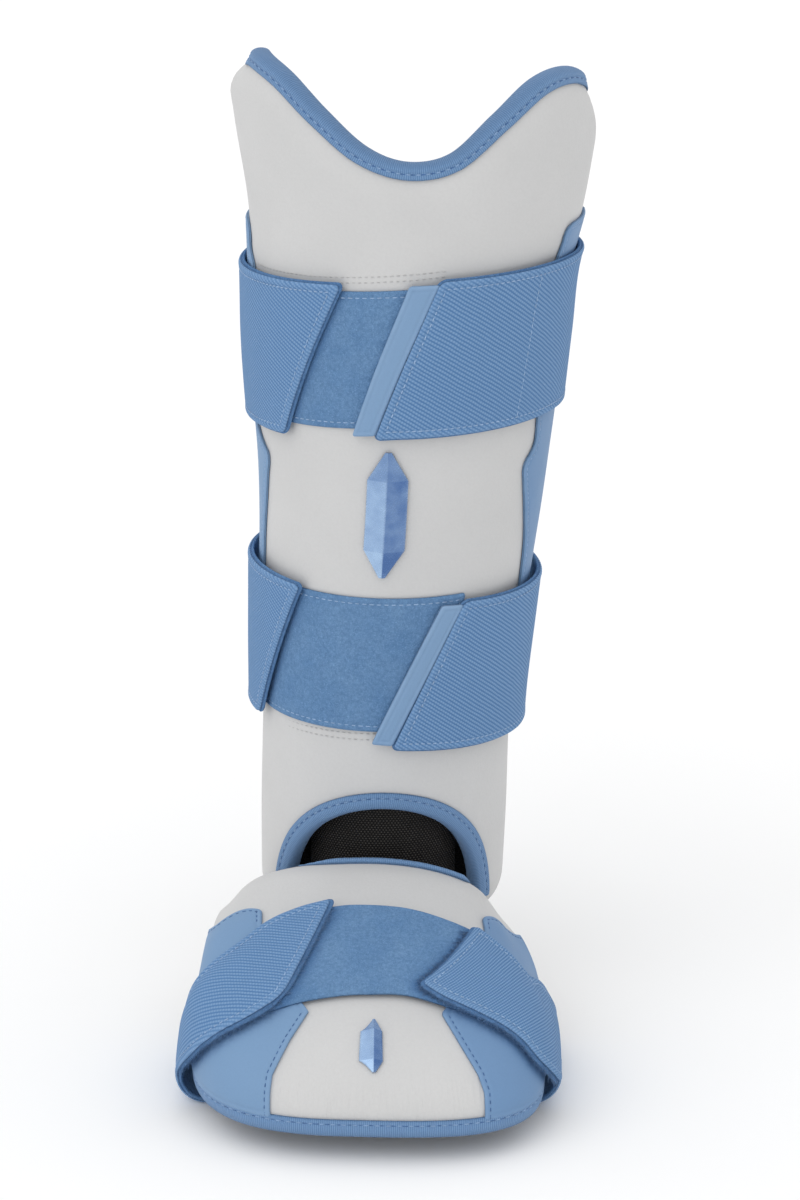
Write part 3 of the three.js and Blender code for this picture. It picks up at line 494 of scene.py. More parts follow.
def two_faced(outer, inner, uv, away, bulge, rings=5, lining=1, edge=0.0):
    """A padded shell between an outer and an inner grid, its edge rounded outwards."""
    nu, nv = outer.shape[:2]
    body = Body()
    body.add(outer, uv, edge)
    body.faces(grid_quads(nu, nv))
    sel = np.unravel_index(border(nu, nv), (nu, nv))
    ring = border(nu, nv)
    o, i, w, b = outer[sel], inner[sel], away[sel], bulge[sel]
    for k in range(1, rings):
        a = math.pi * k / rings
        p = (o + i) / 2 + (o - i) / 2 * math.cos(a) + w * (b * math.sin(a))[:, None]
        now = body.add(p, uv[sel], 1.0) + np.arange(len(o))
        body.faces(strip(now, ring))
        ring = now
    first = body.add(inner, uv, 0.0)
    body.faces(grid_quads(nu, nv)[:, ::-1] + first, lining)
    body.faces(strip(first + border(nu, nv), ring), lining)
    return body


def outward(p):
    """The direction off the edge, for each point of a grid's border."""
    w = np.zeros_like(p)
    w[0] += unit(p[0] - p[2])
    w[-1] += unit(p[-1] - p[-3])
    w[:, 0] += unit(p[:, 0] - p[:, 2])
    w[:, -1] += unit(p[:, -1] - p[:, -3])
    return unit(w)


# ------------------------------------------------------------------ stitches
class Thread:
    """Stitches of one colour on one piece, gathered into one mesh."""

    def __init__(self):
        self.p, self.t, self.n, self.size = [], [], [], []

    def run(self, p, n, pitch=2.4, length=1.55, width=0.42, height=0.36, skip=0.0, slant=0.0, shift=0.0):
        """Stitches along the polyline p with surface normals n."""
        along = np.concatenate([[0], np.cumsum(np.linalg.norm(np.diff(p, axis=0), axis=1))])
        count = max(1, int((along[-1] - 2 * skip) / pitch))
        at = np.minimum(skip + (np.arange(count) + 0.5 + shift) * (along[-1] - 2 * skip) / count, along[-1])
        pick = lambda a, x: np.stack([np.interp(x, along, a[:, i]) for i in range(3)], -1)
        nn = unit(pick(n, at))
        tt = pick(p, np.minimum(at + 0.4, along[-1])) - pick(p, np.maximum(at - 0.4, 0))
        tt = unit(tt - (tt * nn).sum(-1, keepdims=True) * nn)
        tt = unit(tt + slant * np.cross(nn, tt))
        self.p.append(pick(p, at))
        self.t.append(tt)
        self.n.append(nn)
        self.size.append(np.tile([length, width, height], (count, 1)))

    def on(self, patch, st, h, **kw):
        s, t = (np.asarray(x, float) for x in np.broadcast_arrays(*st))
        p = patch.at(s, t, np.full(s.shape, h))
        n = patch.at(s, t, np.full(s.shape, h + 0.5)) - p
        self.run(p, unit(n), **kw)

    def emit(self, name, material):
        p, t, n, size = (np.concatenate(x) for x in (self.p, self.t, self.n, self.size))
        r = np.random.default_rng(len(p))
        size = size * (1 + 0.12 * r.uniform(-1, 1, size.shape))
        b = np.cross(n, t)
        t = unit(t + b * r.uniform(-0.06, 0.06, (len(p), 1)))
        b = np.cross(n, t)
        ang = np.radians([0, 60, 120, 180, 240, 300])
        rings = []
        for x, k in ((-0.5, 0.4), (-0.34, 0.95), (0.34, 0.95), (0.5, 0.4)):
            bow = 0.35 * (1 - (2 * x) ** 2) - 0.1
            for a in ang:
                rings.append(p + t * (x * size[:, :1]) + b * (math.cos(a) * k * size[:, 1:2] / 2)
                             + n * ((math.sin(a) * k / 2 + bow) * size[:, 2:]))
        v = np.stack(rings, 1)
        body = Body()
        body.add(v, np.stack([np.tile(np.repeat([-0.5, -0.3, 0.3, 0.5], 6), (len(p), 1)) * size[:, :1],
                              np.tile(np.tile(np.arange(6) / 6, 4), (len(p), 1))], -1))
        one = [[i * 6 + j, i * 6 + (j + 1) % 6, (i + 1) * 6 + (j + 1) % 6, (i + 1) * 6 + j] for i in range(3) for j in range(6)]
        one += [[3, 2, 1, 0], [5, 4, 3, 0], [18, 19, 20, 21], [18, 21, 22, 23]]
        q = (np.array(one)[None] + (np.arange(len(p)) * 24)[:, None, None]).reshape(-1, 4)
        body.faces(q)
        return emit(name, body, [material])


# ------------------------------------------------------------------ materials
def srgb(r, g, b):
    c = np.array([r, g, b], float) / 255
    c = np.where(c <= 0.04045, c / 12.92, ((c + 0.055) / 1.055) ** 2.4)
    return (*c.tolist(), 1.0)


class Look:
    """A procedural material: small helpers round its node tree."""

    def __init__(self, name, rough=0.6, **sockets):
        self.m = bpy.data.materials.new(name)
        self.m.use_nodes = True
        self.t = self.m.node_tree
        self.t.nodes.clear()
        self.out = self.t.nodes.new("ShaderNodeOutputMaterial")
        self.b = self.t.nodes.new("ShaderNodeBsdfPrincipled")
        self.t.links.new(self.b.outputs[0], self.out.inputs[0])
        self.b.inputs["Roughness"].default_value = rough
        for k, v in sockets.items():
            self.b.inputs[k.replace("_", " ")].default_value = v

    def node(self, kind, **props):
        n = self.t.nodes.new("ShaderNode" + kind)
        for k, v in props.items():
            setattr(n, k, v)
        return n

    def put(self, socket, value):
        if isinstance(value, bpy.types.NodeSocket):
            self.t.links.new(value, socket)
        else:
            socket.default_value = value

    def math(self, op, a, b=None, c=None, clamp=False):
        n = self.node("Math", operation=op, use_clamp=clamp)
        for i, x in enumerate((a, b, c)):
            if x is not None:
                self.put(n.inputs[i], x)
        return n.outputs[0]

    def place(self):
        return self.node("TexCoord").outputs["Object"]

    def uv(self):
        """The real-size map, in millimetres: along and across."""
        n = self.node("UVMap", uv_map="Size")
        v = self.node("VectorMath", operation="SCALE")
        self.t.links.new(n.outputs[0], v.inputs[0])
        v.inputs["Scale"].default_value = 1000.0
        x = self.node("SeparateXYZ")
        self.t.links.new(v.outputs[0], x.inputs[0])
        return x.outputs[0], x.outputs[1], v.outputs[0]

    def value(self, name):
        return self.node("Attribute", attribute_name=name).outputs["Fac"]

    def noise(self, scale, detail=2.0, rough=0.5, vector=None):
        n = self.node("TexNoise")
        self.t.links.new(vector or self.place(), n.inputs["Vector"])
        n.inputs["Scale"].default_value, n.inputs["Detail"].default_value = scale, detail
        n.inputs["Roughness"].default_value = rough
        return n.outputs["Fac"]

    def cells(self, scale, feature="F1", rnd=1.0, vector=None):
        n = self.node("TexVoronoi", feature=feature)
        self.t.links.new(vector or self.place(), n.inputs["Vector"])
        n.inputs["Scale"].default_value, n.inputs["Randomness"].default_value = scale, rnd
        return n.outputs["Distance"]

    def wave(self, x, pitch, phase=None):
        """0 to 1 and back over each pitch."""
        a = self.math("MULTIPLY", x, 2 * math.pi / pitch)
        if phase is not None:
            a = self.math("ADD", a, phase)
        return self.math("MULTIPLY_ADD", self.math("SINE", a), 0.5, 0.5)

    def spread(self, x, a, b, lo, hi):
        n = self.node("MapRange")
        self.put(n.inputs["Value"], x)
        for k, v in zip(("From Min", "From Max", "To Min", "To Max"), (a, b, lo, hi)):
            n.inputs[k].default_value = v
        return n.outputs[0]

    def mix(self, k, a, b):
        n = self.node("Mix", data_type="RGBA")
        self.put(n.inputs[0], k)
        self.put(n.inputs[6], a)
        self.put(n.inputs[7], b)
        return n.outputs[2]

    def bump(self, height, distance, strength=1.0, before=None):
        n = self.node("Bump")
        n.inputs["Strength"].default_value, n.inputs["Distance"].default_value = strength, distance
        self.put(n.inputs["Height"], height)
        if before is not None:
            self.t.links.new(before, n.inputs["Normal"])
        return n.outputs[0]

    def done(self, colour, rough=None, normal=None):
        self.put(self.b.inputs["Base Color"], colour)
        if rough is not None:
            self.put(self.b.inputs["Roughness"], rough)
        if normal is not None:
            self.t.links.new(normal, self.b.inputs["Normal"])
        return self.m


def shade(c, k):
    return (*(min(1.0, x * k) for x in c[:3]), 1.0)


def leather(name, colour, rough, grain, depth, worn, creases=False, painted_shadow_colour=None):
    """Grained leather: a fine pebble, uneven dye, paler handled edges and darker pores, and, when a shadow colour is
    given, painted shadow where the 'shade' value is set.
    """
    k = Look(name, rough, Specular_IOR_Level=0.35)
    pebble = k.cells(grain, "SMOOTH_F1")
    fine = k.noise(grain * 2.3, 3, 0.6)
    broad = k.noise(22, 3, 0.55)
    height = k.math("ADD", k.math("MULTIPLY", pebble, 0.7), k.math("MULTIPLY", fine, 0.45))
    tone = k.mix(k.spread(broad, 0.3, 0.7, 0, 1), shade(colour, 0.972), shade(colour, 1.022))
    tone = k.mix(k.spread(pebble, 0.05, 0.75, 0.0, 0.16), tone, shade(colour, 0.80))
    edge = k.math("MULTIPLY", k.value("edge"), k.spread(k.noise(260, 3), 0.35, 0.7, 0.25, 0.9))
    tone = k.mix(k.math("MULTIPLY", edge, 0.5), tone, worn)
    # Painted shadow beside the straps' edges where the 'shade' value is set, broken up by fuzz-like noise.
    if painted_shadow_colour is not None:
        fuzz = k.spread(k.noise(620, 4, 0.7), 0.3, 0.7, 1.0, 0.35)
        tone = k.mix(k.math("MULTIPLY", k.value("shade"), fuzz), tone, painted_shadow_colour)
    normal = k.bump(height, depth)
    if creases:
        u, v, place = k.uv()
        stretched = k.node("Mapping")
        k.t.links.new(place, stretched.inputs["Vector"])
        stretched.inputs["Scale"].default_value = (0.62, 0.055, 0.3)
        lines = k.noise(1.0, 2, 0.5, stretched.outputs[0])
        where = k.value("crease")
        normal = k.bump(k.math("MULTIPLY", lines, where), 0.0011, 0.9, normal)
    return k.done(tone, k.spread(k.noise(60, 3), 0.3, 0.7, rough - 0.05, rough + 0.07), normal)


def webbing(name, dark, light):
    """Woven elastic: slanting ribs broken into short staggered floats."""
    k = Look(name, 0.85, Specular_IOR_Level=0.14, Sheen_Weight=0.03, Sheen_Roughness=0.5)
    u, v, place = k.uv()
    wob = k.math("MULTIPLY_ADD", k.noise(110, 2), 0.7, -0.35)
    y = k.math("ADD", v, wob)
    rib = k.wave(y, 1.32, -math.pi / 2)
    course = k.math("FLOOR", k.math("DIVIDE", y, 1.32))
    x = k.math("ADD", u, k.math("MULTIPLY_ADD", k.noise(150, 2), 0.6, -0.3))
    bead = k.wave(x, 1.12, k.math("MULTIPLY", course, math.pi * 0.94))
    yarn = k.noise(2600, 2, 0.6)
    height = k.math("MULTIPLY", k.math("POWER", rib, 0.8), k.math("MULTIPLY_ADD", bead, 0.55, 0.45))
    height = k.math("ADD", height, k.math("MULTIPLY", yarn, 0.22))
    tone = k.mix(k.spread(height, 0.10, 0.95, 0, 1), dark, light)
    broad = k.noise(18, 3)
    tone = k.mix(k.spread(broad, 0.3, 0.7, 0.0, 0.12), tone, shade(dark, 0.95))
    lint = k.noise(900, 3, 0.7)
    tone = k.mix(k.spread(lint, 0.66, 0.78, 0.0, 0.45), tone, shade(light, 1.2))
    edge = k.math("MULTIPLY", k.value("edge"), k.spread(k.noise(420, 2), 0.3, 0.7, 0.2, 0.8))
    tone = k.mix(k.math("MULTIPLY", edge, 0.6), tone, shade(light, 1.10))
    return k.done(tone, k.spread(yarn, 0.3, 0.7, 0.78, 0.92), k.bump(height, 0.00026))


def pile(name, dark, light, painted_shadow_colour):
    """Brushed loop pile: speckled, fuzzy, with stray fibres, and painted shadow beside the straps' edges where the
    'shade' value is set.
    """
    k = Look(name, 0.95, Specular_IOR_Level=0.1, Sheen_Weight=0.12, Sheen_Roughness=0.6)
    k.b.inputs["Sheen Tint"].default_value = shade(light, 1.2)
    broad = k.noise(70, 4, 0.65)
    tuft = k.noise(780, 4, 0.7)
    fibre = k.noise(2000, 3, 0.7)
    tone = k.mix(k.spread(broad, 0.25, 0.75, 0.1, 0.9), dark, light)
    tone = k.mix(k.spread(tuft, 0.38, 0.62, 0.0, 0.55), tone, shade(dark, 0.74))
    tone = k.mix(k.spread(fibre, 0.52, 0.70, 0.0, 0.6), tone, shade(light, 1.28))
    # Painted shadow beside the straps' edges where the 'shade' value is set, broken up by the tufts and fibres.
    painted_shadow_mask = k.math("MULTIPLY", k.value("shade"), k.spread(k.math("ADD", tuft, k.math("MULTIPLY", fibre, 0.6)), 0.55, 1.0, 1.0, 0.45))
    tone = k.mix(painted_shadow_mask, tone, painted_shadow_colour)
    height = k.math("ADD", tuft, k.math("MULTIPLY", fibre, 0.55))
    return k.done(tone, None, k.bump(height, 0.00065))


def ribbon(name, dark, light, pitch):
    """Grosgrain tape: fine ribs across it, darker where the 'edge' value is set: painted shade at its turn and edges.
    """
    k = Look(name, 0.78, Specular_IOR_Level=0.3, Sheen_Weight=0.1, Sheen_Roughness=0.5)
    u, v, place = k.uv()
    wob = k.math("MULTIPLY_ADD", k.noise(300, 2), 0.22, -0.11)
    rib = k.wave(k.math("ADD", u, wob), pitch)
    yarn = k.wave(v, 0.42, k.math("MULTIPLY", k.math("FLOOR", k.math("DIVIDE", u, pitch)), math.pi))
    fibre = k.noise(2400, 2, 0.6)
    height = k.math("ADD", rib, k.math("MULTIPLY", k.math("ADD", yarn, fibre), 0.22))
    tone = k.mix(k.spread(height, 0.15, 1.25, 0, 1), dark, light)
    tone = k.mix(k.spread(k.noise(26, 3), 0.3, 0.7, 0.0, 0.12), tone, shade(dark, 0.9))
    # Painted shade at the tape's turn and edges, taken from the 'edge' value.
    tone = k.mix(k.math("MULTIPLY", k.value("edge"), 0.75), tone, shade(dark, 0.66))
    return k.done(tone, None, k.bump(height, 0.0002))


def basket(name, dark, light):
    """Ballistic nylon: staggered crossings that catch the light over a dark ground."""
    k = Look(name, 0.7, Specular_IOR_Level=0.2)
    u, v, place = k.uv()
    wob = k.math("MULTIPLY_ADD", k.noise(160, 2), 0.5, -0.25)
    y = k.math("DIVIDE", k.math("ADD", v, wob), 0.92)
    row = k.math("FLOOR", y)
    x = k.math("ADD", k.math("ADD", u, wob), k.math("MULTIPLY", k.math("ABSOLUTE", k.math("MODULO", row, 2.0)), 0.625))
    a = k.wave(x, 1.25)
    b = k.wave(y, 1.0, -math.pi / 2)
    dot = k.math("MULTIPLY", k.math("POWER", a, 1.3), k.math("POWER", b, 0.9))
    strand = k.noise(2600, 2, 0.6)
    vary = k.noise(90, 3, 0.6)
    lit = k.math("MULTIPLY", k.spread(dot, 0.15, 0.9, 0, 1), k.spread(strand, 0.3, 0.7, 0.55, 1.0))
    lit = k.math("MULTIPLY", lit, k.spread(vary, 0.3, 0.7, 0.65, 1.0))
    # Painted shade: the crossings are darkened where the 'shade' value is set, on the tongue's folded-back sides.
    lit = k.math("MULTIPLY", lit, k.math("SUBTRACT", 1.0, k.value("shade"), clamp=True))
    tone = k.mix(lit, dark, light)
    return k.done(tone, k.spread(strand, 0.3, 0.7, 0.6, 0.85), k.bump(k.math("ADD", dot, k.math("MULTIPLY", strand, 0.2)), 0.0003))


def lining_cloth(name, dark, light):
    """Brushed knit lining with fine wales."""
    k = Look(name, 0.9, Specular_IOR_Level=0.2, Sheen_Weight=0.2, Sheen_Roughness=0.5)
    u, v, place = k.uv()
    wale = k.wave(u, 0.9)
    loop = k.wave(v, 0.7, k.math("MULTIPLY", wale, 2.0))
    fuzz = k.noise(1500, 3, 0.65)
    height = k.math("ADD", k.math("MULTIPLY", wale, loop), fuzz)
    tone = k.mix(k.spread(height, 0.3, 1.4, 0, 1), dark, light)
    tone = k.mix(k.spread(k.noise(40, 3), 0.35, 0.7, 0, 0.3), tone, shade(dark, 0.8))
    return k.done(tone, None, k.bump(height, 0.00025))


def thread_look(name, colour):
    """Twisted sewing thread."""
    k = Look(name, 0.6, Specular_IOR_Level=0.4, Sheen_Weight=0.1)
    u, v, place = k.uv()
    twist = k.wave(k.math("ADD", u, k.math("MULTIPLY", v, 0.5)), 0.5)
    vary = k.noise(380, 2)
    tone = k.mix(k.spread(vary, 0.3, 0.7, 0, 1), shade(colour, 0.86), shade(colour, 1.12))
    tone = k.mix(k.math("MULTIPLY", twist, 0.3), tone, shade(colour, 0.7))
    return k.done(tone, None, k.bump(twist, 0.00006))


def badge_look(name, dark, light, pale):
    """Lacquered moulded badge: facets painted lighter and darker as painted light and shade, clouded, and paler on its
    eased edges as a painted highlight broken up by scuff noise.
    """
    k = Look(name, 0.24, Metallic=0.35, Coat_Weight=0.5, Coat_Roughness=0.1, Specular_IOR_Level=0.5)
    flow = k.noise(150, 3, 0.55)
    scuff = k.noise(1700, 3, 0.7)
    face = k.math("ADD", k.value("painted_facet_light"), k.spread(flow, 0.3, 0.7, -0.16, 0.16), clamp=True)
    tone = k.mix(face, dark, light)
    # Painted highlight: paler on the eased edges, broken up by scuff noise.
    tone = k.mix(k.math("MULTIPLY", k.value("edge"), k.spread(scuff, 0.45, 0.7, 0.15, 0.7)), tone, pale)
    return k.done(tone, k.spread(scuff, 0.3, 0.75, 0.18, 0.34), k.bump(k.noise(240, 2), 0.00008))


GREY = srgb(200, 200, 200)
BLUE = srgb(115, 148, 184)
# The blue of the painted shadow on the loop pile and leather beside the straps' edges and ends.
PAINTED_SHADOW_BLUE = srgb(58, 97, 146)
grey_leather = leather("grey_leather", GREY, 0.6, 1150, 0.00007, srgb(211, 211, 211))
dome_leather = leather("dome_leather", GREY, 0.6, 1150, 0.00007, srgb(211, 211, 211), creases=True)
blue_leather = leather("blue_leather", BLUE, 0.55, 1500, 0.00004, srgb(136, 164, 196), painted_shadow_colour=PAINTED_SHADOW_BLUE)
# A darker copy of the blue leather for the right-hand wing and panel: painted shade on the side turned away from the
# key light.
blue_leather_painted_shade = leather("blue_leather_painted_shade", srgb(106, 140, 179), 0.55, 1500, 0.00004, srgb(128, 158, 192), painted_shadow_colour=PAINTED_SHADOW_BLUE)
tab_leather = leather("tab_leather", srgb(120, 152, 187), 0.5, 1700, 0.00003, srgb(142, 170, 201))
strap_web = webbing("strap_web", srgb(78, 118, 164), srgb(127, 160, 198))
hook_back = pile("hook_back", srgb(76, 114, 160), srgb(106, 142, 184), PAINTED_SHADOW_BLUE)
loop_pile = pile("loop_pile", srgb(90, 129, 173), srgb(118, 153, 191), PAINTED_SHADOW_BLUE)
tape_look = ribbon("tape", srgb(87, 126, 172), srgb(126, 159, 198), 0.75)
nylon_look = basket("nylon", srgb(14, 13, 13), srgb(98, 94, 90))
lining = lining_cloth("lining", srgb(20, 20, 22), srgb(44, 44, 47))
thread_light = thread_look("thread_light", srgb(150, 178, 211))
thread_pale = thread_look("thread_pale", srgb(146, 174, 207))
thread_tape = thread_look("thread_tape", srgb(134, 164, 201))
# Dark thread colour that is partly the thread's own blue and partly painted shade, as in needle holes: used for the
# panel stitches and for the painted shadow dashes between the tape stitches.
thread_painted_shade = thread_look("thread_painted_shade", srgb(62, 101, 150))
thread_grey = thread_look("thread_grey", srgb(186, 186, 186))
fuzz_look = thread_look("fuzz", srgb(84, 122, 168))
badge_mat = badge_look("badge", srgb(56, 98, 156), srgb(158, 188, 222), srgb(206, 220, 236))


def finish_piece(o, node):
    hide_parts(node)
    return o


def set_value(o, name, values):
    a = o.data.attributes.new(name, "FLOAT", "POINT")
    a.data.foreach_set("value", np.asarray(values, np.float32).ravel())


# ------------------------------------------------------------------ shin shell
left, right = ARCH["centre"] - ARCH["half"], ARCH["centre"] + ARCH["half"]
near = np.array([0, 0.006, 0.016, 0.03, 0.05, 0.08, 0.12, 0.17])
shell_cols = np.concatenate([
    lerp(-SHELL_REACH, left, np.concatenate([near, np.linspace(0.24, 0.94, 11)])),
    ARCH["centre"] + ARCH["half"] * np.sin(np.radians(np.linspace(-90, 90, 85))),
    lerp(right, SHELL_REACH, np.concatenate([np.linspace(0.07, 0.76, 11), 1 - near[::-1]]))])
low_rows = np.array([0, 0.5, 1.2, 2.2, 3.6, 5.5, 8.0])
top_rows = np.array([16, 13, 10.5, 8.2, 6.2, 4.4, 3.0, 1.8, 0.9, 0.4, 0.0])
lo, hi = low_edge(shell_cols)[:, None], top_edge(shell_cols)[:, None]
between = np.arange(1, 104) / 104
Z = np.concatenate([lo + low_rows, lerp(lo + low_rows[-1], hi - top_rows[0], between), hi - top_rows], 1)
DEG = np.repeat(shell_cols[:, None], Z.shape[1], 1)
outer = on_shin(DEG, Z, 0.0)
flat_mask = (1 - np.maximum.reduce(shin_rolls(DEG, Z)))
outer = on_shin(DEG, Z, 0.28 * ripple(outer, 60, 3) * flat_mask + horn(DEG, Z))
inner = in_shin(DEG, Z, 0.0)
away = outward(outer)
covered = np.zeros(Z.shape)
covered[:, -1] = 1
covered[(np.abs(DEG - ARCH["centre"]) < ARCH["half"] * 0.995)[:, 0], 0] = 1
uv = np.stack([np.radians(DEG) * 58, Z], -1)
edge_value = np.maximum.reduce(shin_rolls(DEG, Z)) ** 2 * 0.5
shell = two_faced(outer, inner, uv, away, np.where(covered > 0, 0.5, 2.3), rings=7, edge=edge_value)
o = finish_piece(emit("shin_shell", shell, [grey_leather, lining]), "shin_shell")

rows = Thread()
for z, tilt, a, b in ((298.3, 5.4, -68, 14), (296.3, 5.4, -68, 14), (122.9, 1.0, -68, 60), (120.5, 1.0, -68, 60)):
    d = np.linspace(a, b, 200)
    p = on_shin(d, z + tilt * np.sin(np.radians(d)), 0.02)
    rows.run(p, unit(on_shin(d, z + tilt * np.sin(np.radians(d)), 1.0) - p), pitch=2.3, length=1.2, width=0.34, height=0.22)
o = rows.emit("shin_stitching", thread_grey)


# ------------------------------------------------------------------ binding tape
def bound_tape(name, count, size, outer_at, inner_at, away_at, node, stitch_in, full=lambda s: 1.0 + 0 * s,
               wide=lambda s: 1.0 + 0 * s):
    """Tape folded over an edge: an outer leg, a turn and an inner leg, closed all round.
    full tells how much of the tape's fullness shows along it, wide how much of its outer leg's width."""
    s = np.linspace(0, 1, count)
    rest = size["outer"] - stitch_in - 0.6
    whole = full(s)
    leg = wide(s) if size["outer"] > 3 else whole
    edge_in = [0.0, 0.12, 0.4, 0.9] if size["outer"] > 3 else [0.0, 0.12, 0.35]
    edge_w = [0.45, 0.78, 0.95, 1.0] if size["outer"] > 3 else [0.45, 0.8, 1.0]
    # Each stop's last value is painted shade: darkest at the outer leg's edge and the inner leg's end, half as dark
    # over the turn.
    stops = [("outer", size["outer"] - e, w, k) for e, w, k in zip(edge_in, edge_w, (1.0, 0.7, 0.3, 0.0))]
    if size["outer"] > 3:
        stops += [("outer", size["outer"] - stitch_in + x, w, 0.0) for x, w in ((0.6, 1.0), (0.2, 0.84), (-0.2, 0.84), (-0.6, 1.0))]
        stops += [("outer", rest * k, 1.08, 0.0) for k in (0.75, 0.45, 0.18)]
    else:
        stops += [("outer", size["outer"] * k, 1.0, 0.0) for k in (0.45, 0.25)]
    stops += [("turn", a, 1.0, 0.5 * min(1.0, 1.6 * math.sin(a))) for a in np.radians(np.linspace(0, 180, 13))]
    stops += [("inner", d, 1.0, 0.0) for d in (1.5, 3.0, size["inner"] - 1.0, size["inner"] - 0.4)] + [("inner", size["inner"], 0.5, 1.0)]
    faces = []
    for face in (1, 0):
        rowsf = []
        for kind, x, w, _ in stops:
            ww = w * whole if face else 0.0 * whole
            lift, inside = GAP + ww * TAPE, INSIDE_GAP + ww * TAPE
            if kind == "outer":
                k = x / size["outer"]
                rowsf.append(outer_at(s, x * leg, lerp(GAP, 0.1, k) + ww * TAPE * lerp(1.0, 0.72, k)))
            elif kind == "inner":
                rowsf.append(inner_at(s, x, inside))
            else:
                a, b = outer_at(s, 0.0, lift), inner_at(s, 0.0, inside)
                arm = (a - b) / 2
                reach = GAP + ww * TAPE + size["bulge"] * (np.linalg.norm(arm, axis=-1) - lift)
                rowsf.append((a + b) / 2 + arm * math.cos(x) + away_at(s) * (reach * whole * math.sin(x))[:, None])
        faces.append(np.stack(rowsf, 1))
    out, ins = faces
    path = out[:, len(edge_in) + 1]
    along = np.concatenate([[0], np.cumsum(np.linalg.norm(np.diff(path, axis=0), axis=1))])
    across = np.concatenate([[0], np.cumsum(np.linalg.norm(np.diff(out[count // 2], axis=0), axis=1))])
    uv = np.stack(np.broadcast_arrays(along[:, None], across[None, :]), -1)
    painted_edge_shade = np.broadcast_to(np.array([x[3] for x in stops])[None, :], out.shape[:2])
    # slight puckers between the stitches
    nu, nv = out.shape[:2]
    pucker = 0.07 * np.sin(along * 2 * math.pi / 3.5)[:, None] * np.exp(-((across - across[len(edge_in) + 1]) / 1.2) ** 2)[None, :]
    du = np.gradient(out, axis=0)
    dv = np.gradient(out, axis=1)
    normal = unit(np.cross(du, dv))
    flip = 1.0 if (normal * (out - ins)).sum() > 0 else -1.0
    out = out + normal * (flip * (pucker + 0.10 * ripple(out, 26, 11) * (1 - painted_edge_shade)))[..., None]
    body = Body()
    a = body.add(out, uv, painted_edge_shade)
    body.faces(grid_quads(nu, nv))
    b = body.add(ins, uv, 0.2)
    body.faces(grid_quads(nu, nv)[:, ::-1] + b)
    body.faces(strip(b + border(nu, nv), a + border(nu, nv)))
    o = emit(name, body, [tape_look])
    finish_piece(o, node)
    return o, out, flip * normal, len(edge_in)


def tape_stitches(name, out, normal, column, pitch):
    """A row of pale stitches with dark dashes between them: painted shadow where the thread dips into the tape."""
    p, n = out[:, column], normal[:, column]
    for part, material, d, kw in (("stitching", thread_tape, 0.04, dict(length=0.42 * pitch, width=0.5, height=0.36)),
                                  ("painted_shadow_dashes", thread_painted_shade, -0.02, dict(length=0.5 * pitch, width=0.62, height=0.16, shift=0.5))):
        rows = Thread()
        rows.run(p + n * d, n, pitch=pitch, **kw)
        rows.emit(f"{name}_{part}", material)


def top_at(s, d):
    deg = lerp(-SHELL_REACH + 0.6, SHELL_REACH - 0.6, s)
    k = top_slope(deg)
    n = np.hypot(1, k)
    return deg + np.degrees(d * k / n / 66), top_edge(deg) - d / n


def top_away(s):
    deg = np.radians(lerp(-SHELL_REACH + 0.6, SHELL_REACH - 0.6, s))
    k = top_slope(np.degrees(deg))
    return unit(np.stack([-k * np.cos(deg), -k * np.sin(deg), np.ones_like(k)], -1))


o, out, nrm, c = bound_tape("top_binding", 420, TOP_TAPE, lambda s, d, h: on_shin(*top_at(s, d), h),
                            lambda s, d, h: in_shin(*top_at(s, d), h), top_away, "top_binding", 2.3,
                            lambda s: lerp(0.55, 1.0, smooth(np.minimum(s, 1 - s), 0.09, 0.2)),
                            lambda s: lerp(0.6, 1.0, smooth(np.minimum(s, 1 - s), 0.07, 0.19)))
tape_stitches("top_binding", out, nrm, c + 1, 3.5)


def arch_at(s, d):
    a = lerp(math.radians(86), math.radians(-86), s)
    k = 1 + d / ARCH["radius"]
    return ARCH["centre"] + ARCH["half"] * k * np.sin(a), ARCH["foot"] + ARCH["rise"] * k * np.cos(a)


def arch_away(s):
    a = lerp(math.radians(86), math.radians(-86), s)
    deg = np.radians(arch_at(s, 0.0)[0])
    return unit(np.stack([-np.sin(a) * np.cos(deg), -np.sin(a) * np.sin(deg), -np.cos(a)], -1))


o, out, nrm, c = bound_tape("arch_binding", 320, ARCH_TAPE, lambda s, d, h: on_shin(*arch_at(s, d), h),
                            lambda s, d, h: in_shin(*arch_at(s, d), h), arch_away, "arch_binding", 2.3)
tape_stitches("arch_binding", out, nrm, c + 1, 3.5)


def toe_deg(s):
    return girth_lerp(DOME_REACH - 0.3, -DOME_REACH + 0.3, s)


o, out, nrm, c = bound_tape(
    "toe_binding", 480, TOE_TAPE,
    lambda s, d, h: on_dome(toe_deg(s), d / (3 * dome_shape(toe_deg(s))[0]), h),
    lambda s, d, h: in_dome(toe_deg(s), d / (3 * dome_shape(toe_deg(s))[0]), h),
    lambda s: np.tile([0.0, 0.0, -1.0], (len(s), 1)), "toe_binding", 1.9)
tape_stitches("toe_binding", out, nrm, c + 1, 3.9)


def instep_deg(s):
    return lerp(INSTEP_FROM, INSTEP_TO, s)


o, out, nrm, c = bound_tape(
    "instep_binding", 240, INSTEP_TAPE,
    lambda s, d, h: on_dome(instep_deg(s), 1 - d / (3 * dome_shape(instep_deg(s))[1]), h),
    lambda s, d, h: in_dome(instep_deg(s), 1 - d / (3 * dome_shape(instep_deg(s))[1]), h),
    lambda s: unit(dome_base(instep_deg(s), 1.0) - dome_base(instep_deg(s), 0.98)), "instep_binding", 1.3,
    lambda s: lerp(0.08, 1.0, smooth(s, -0.02, 0.22) * (1 - smooth(s, 0.93, 1.01))))


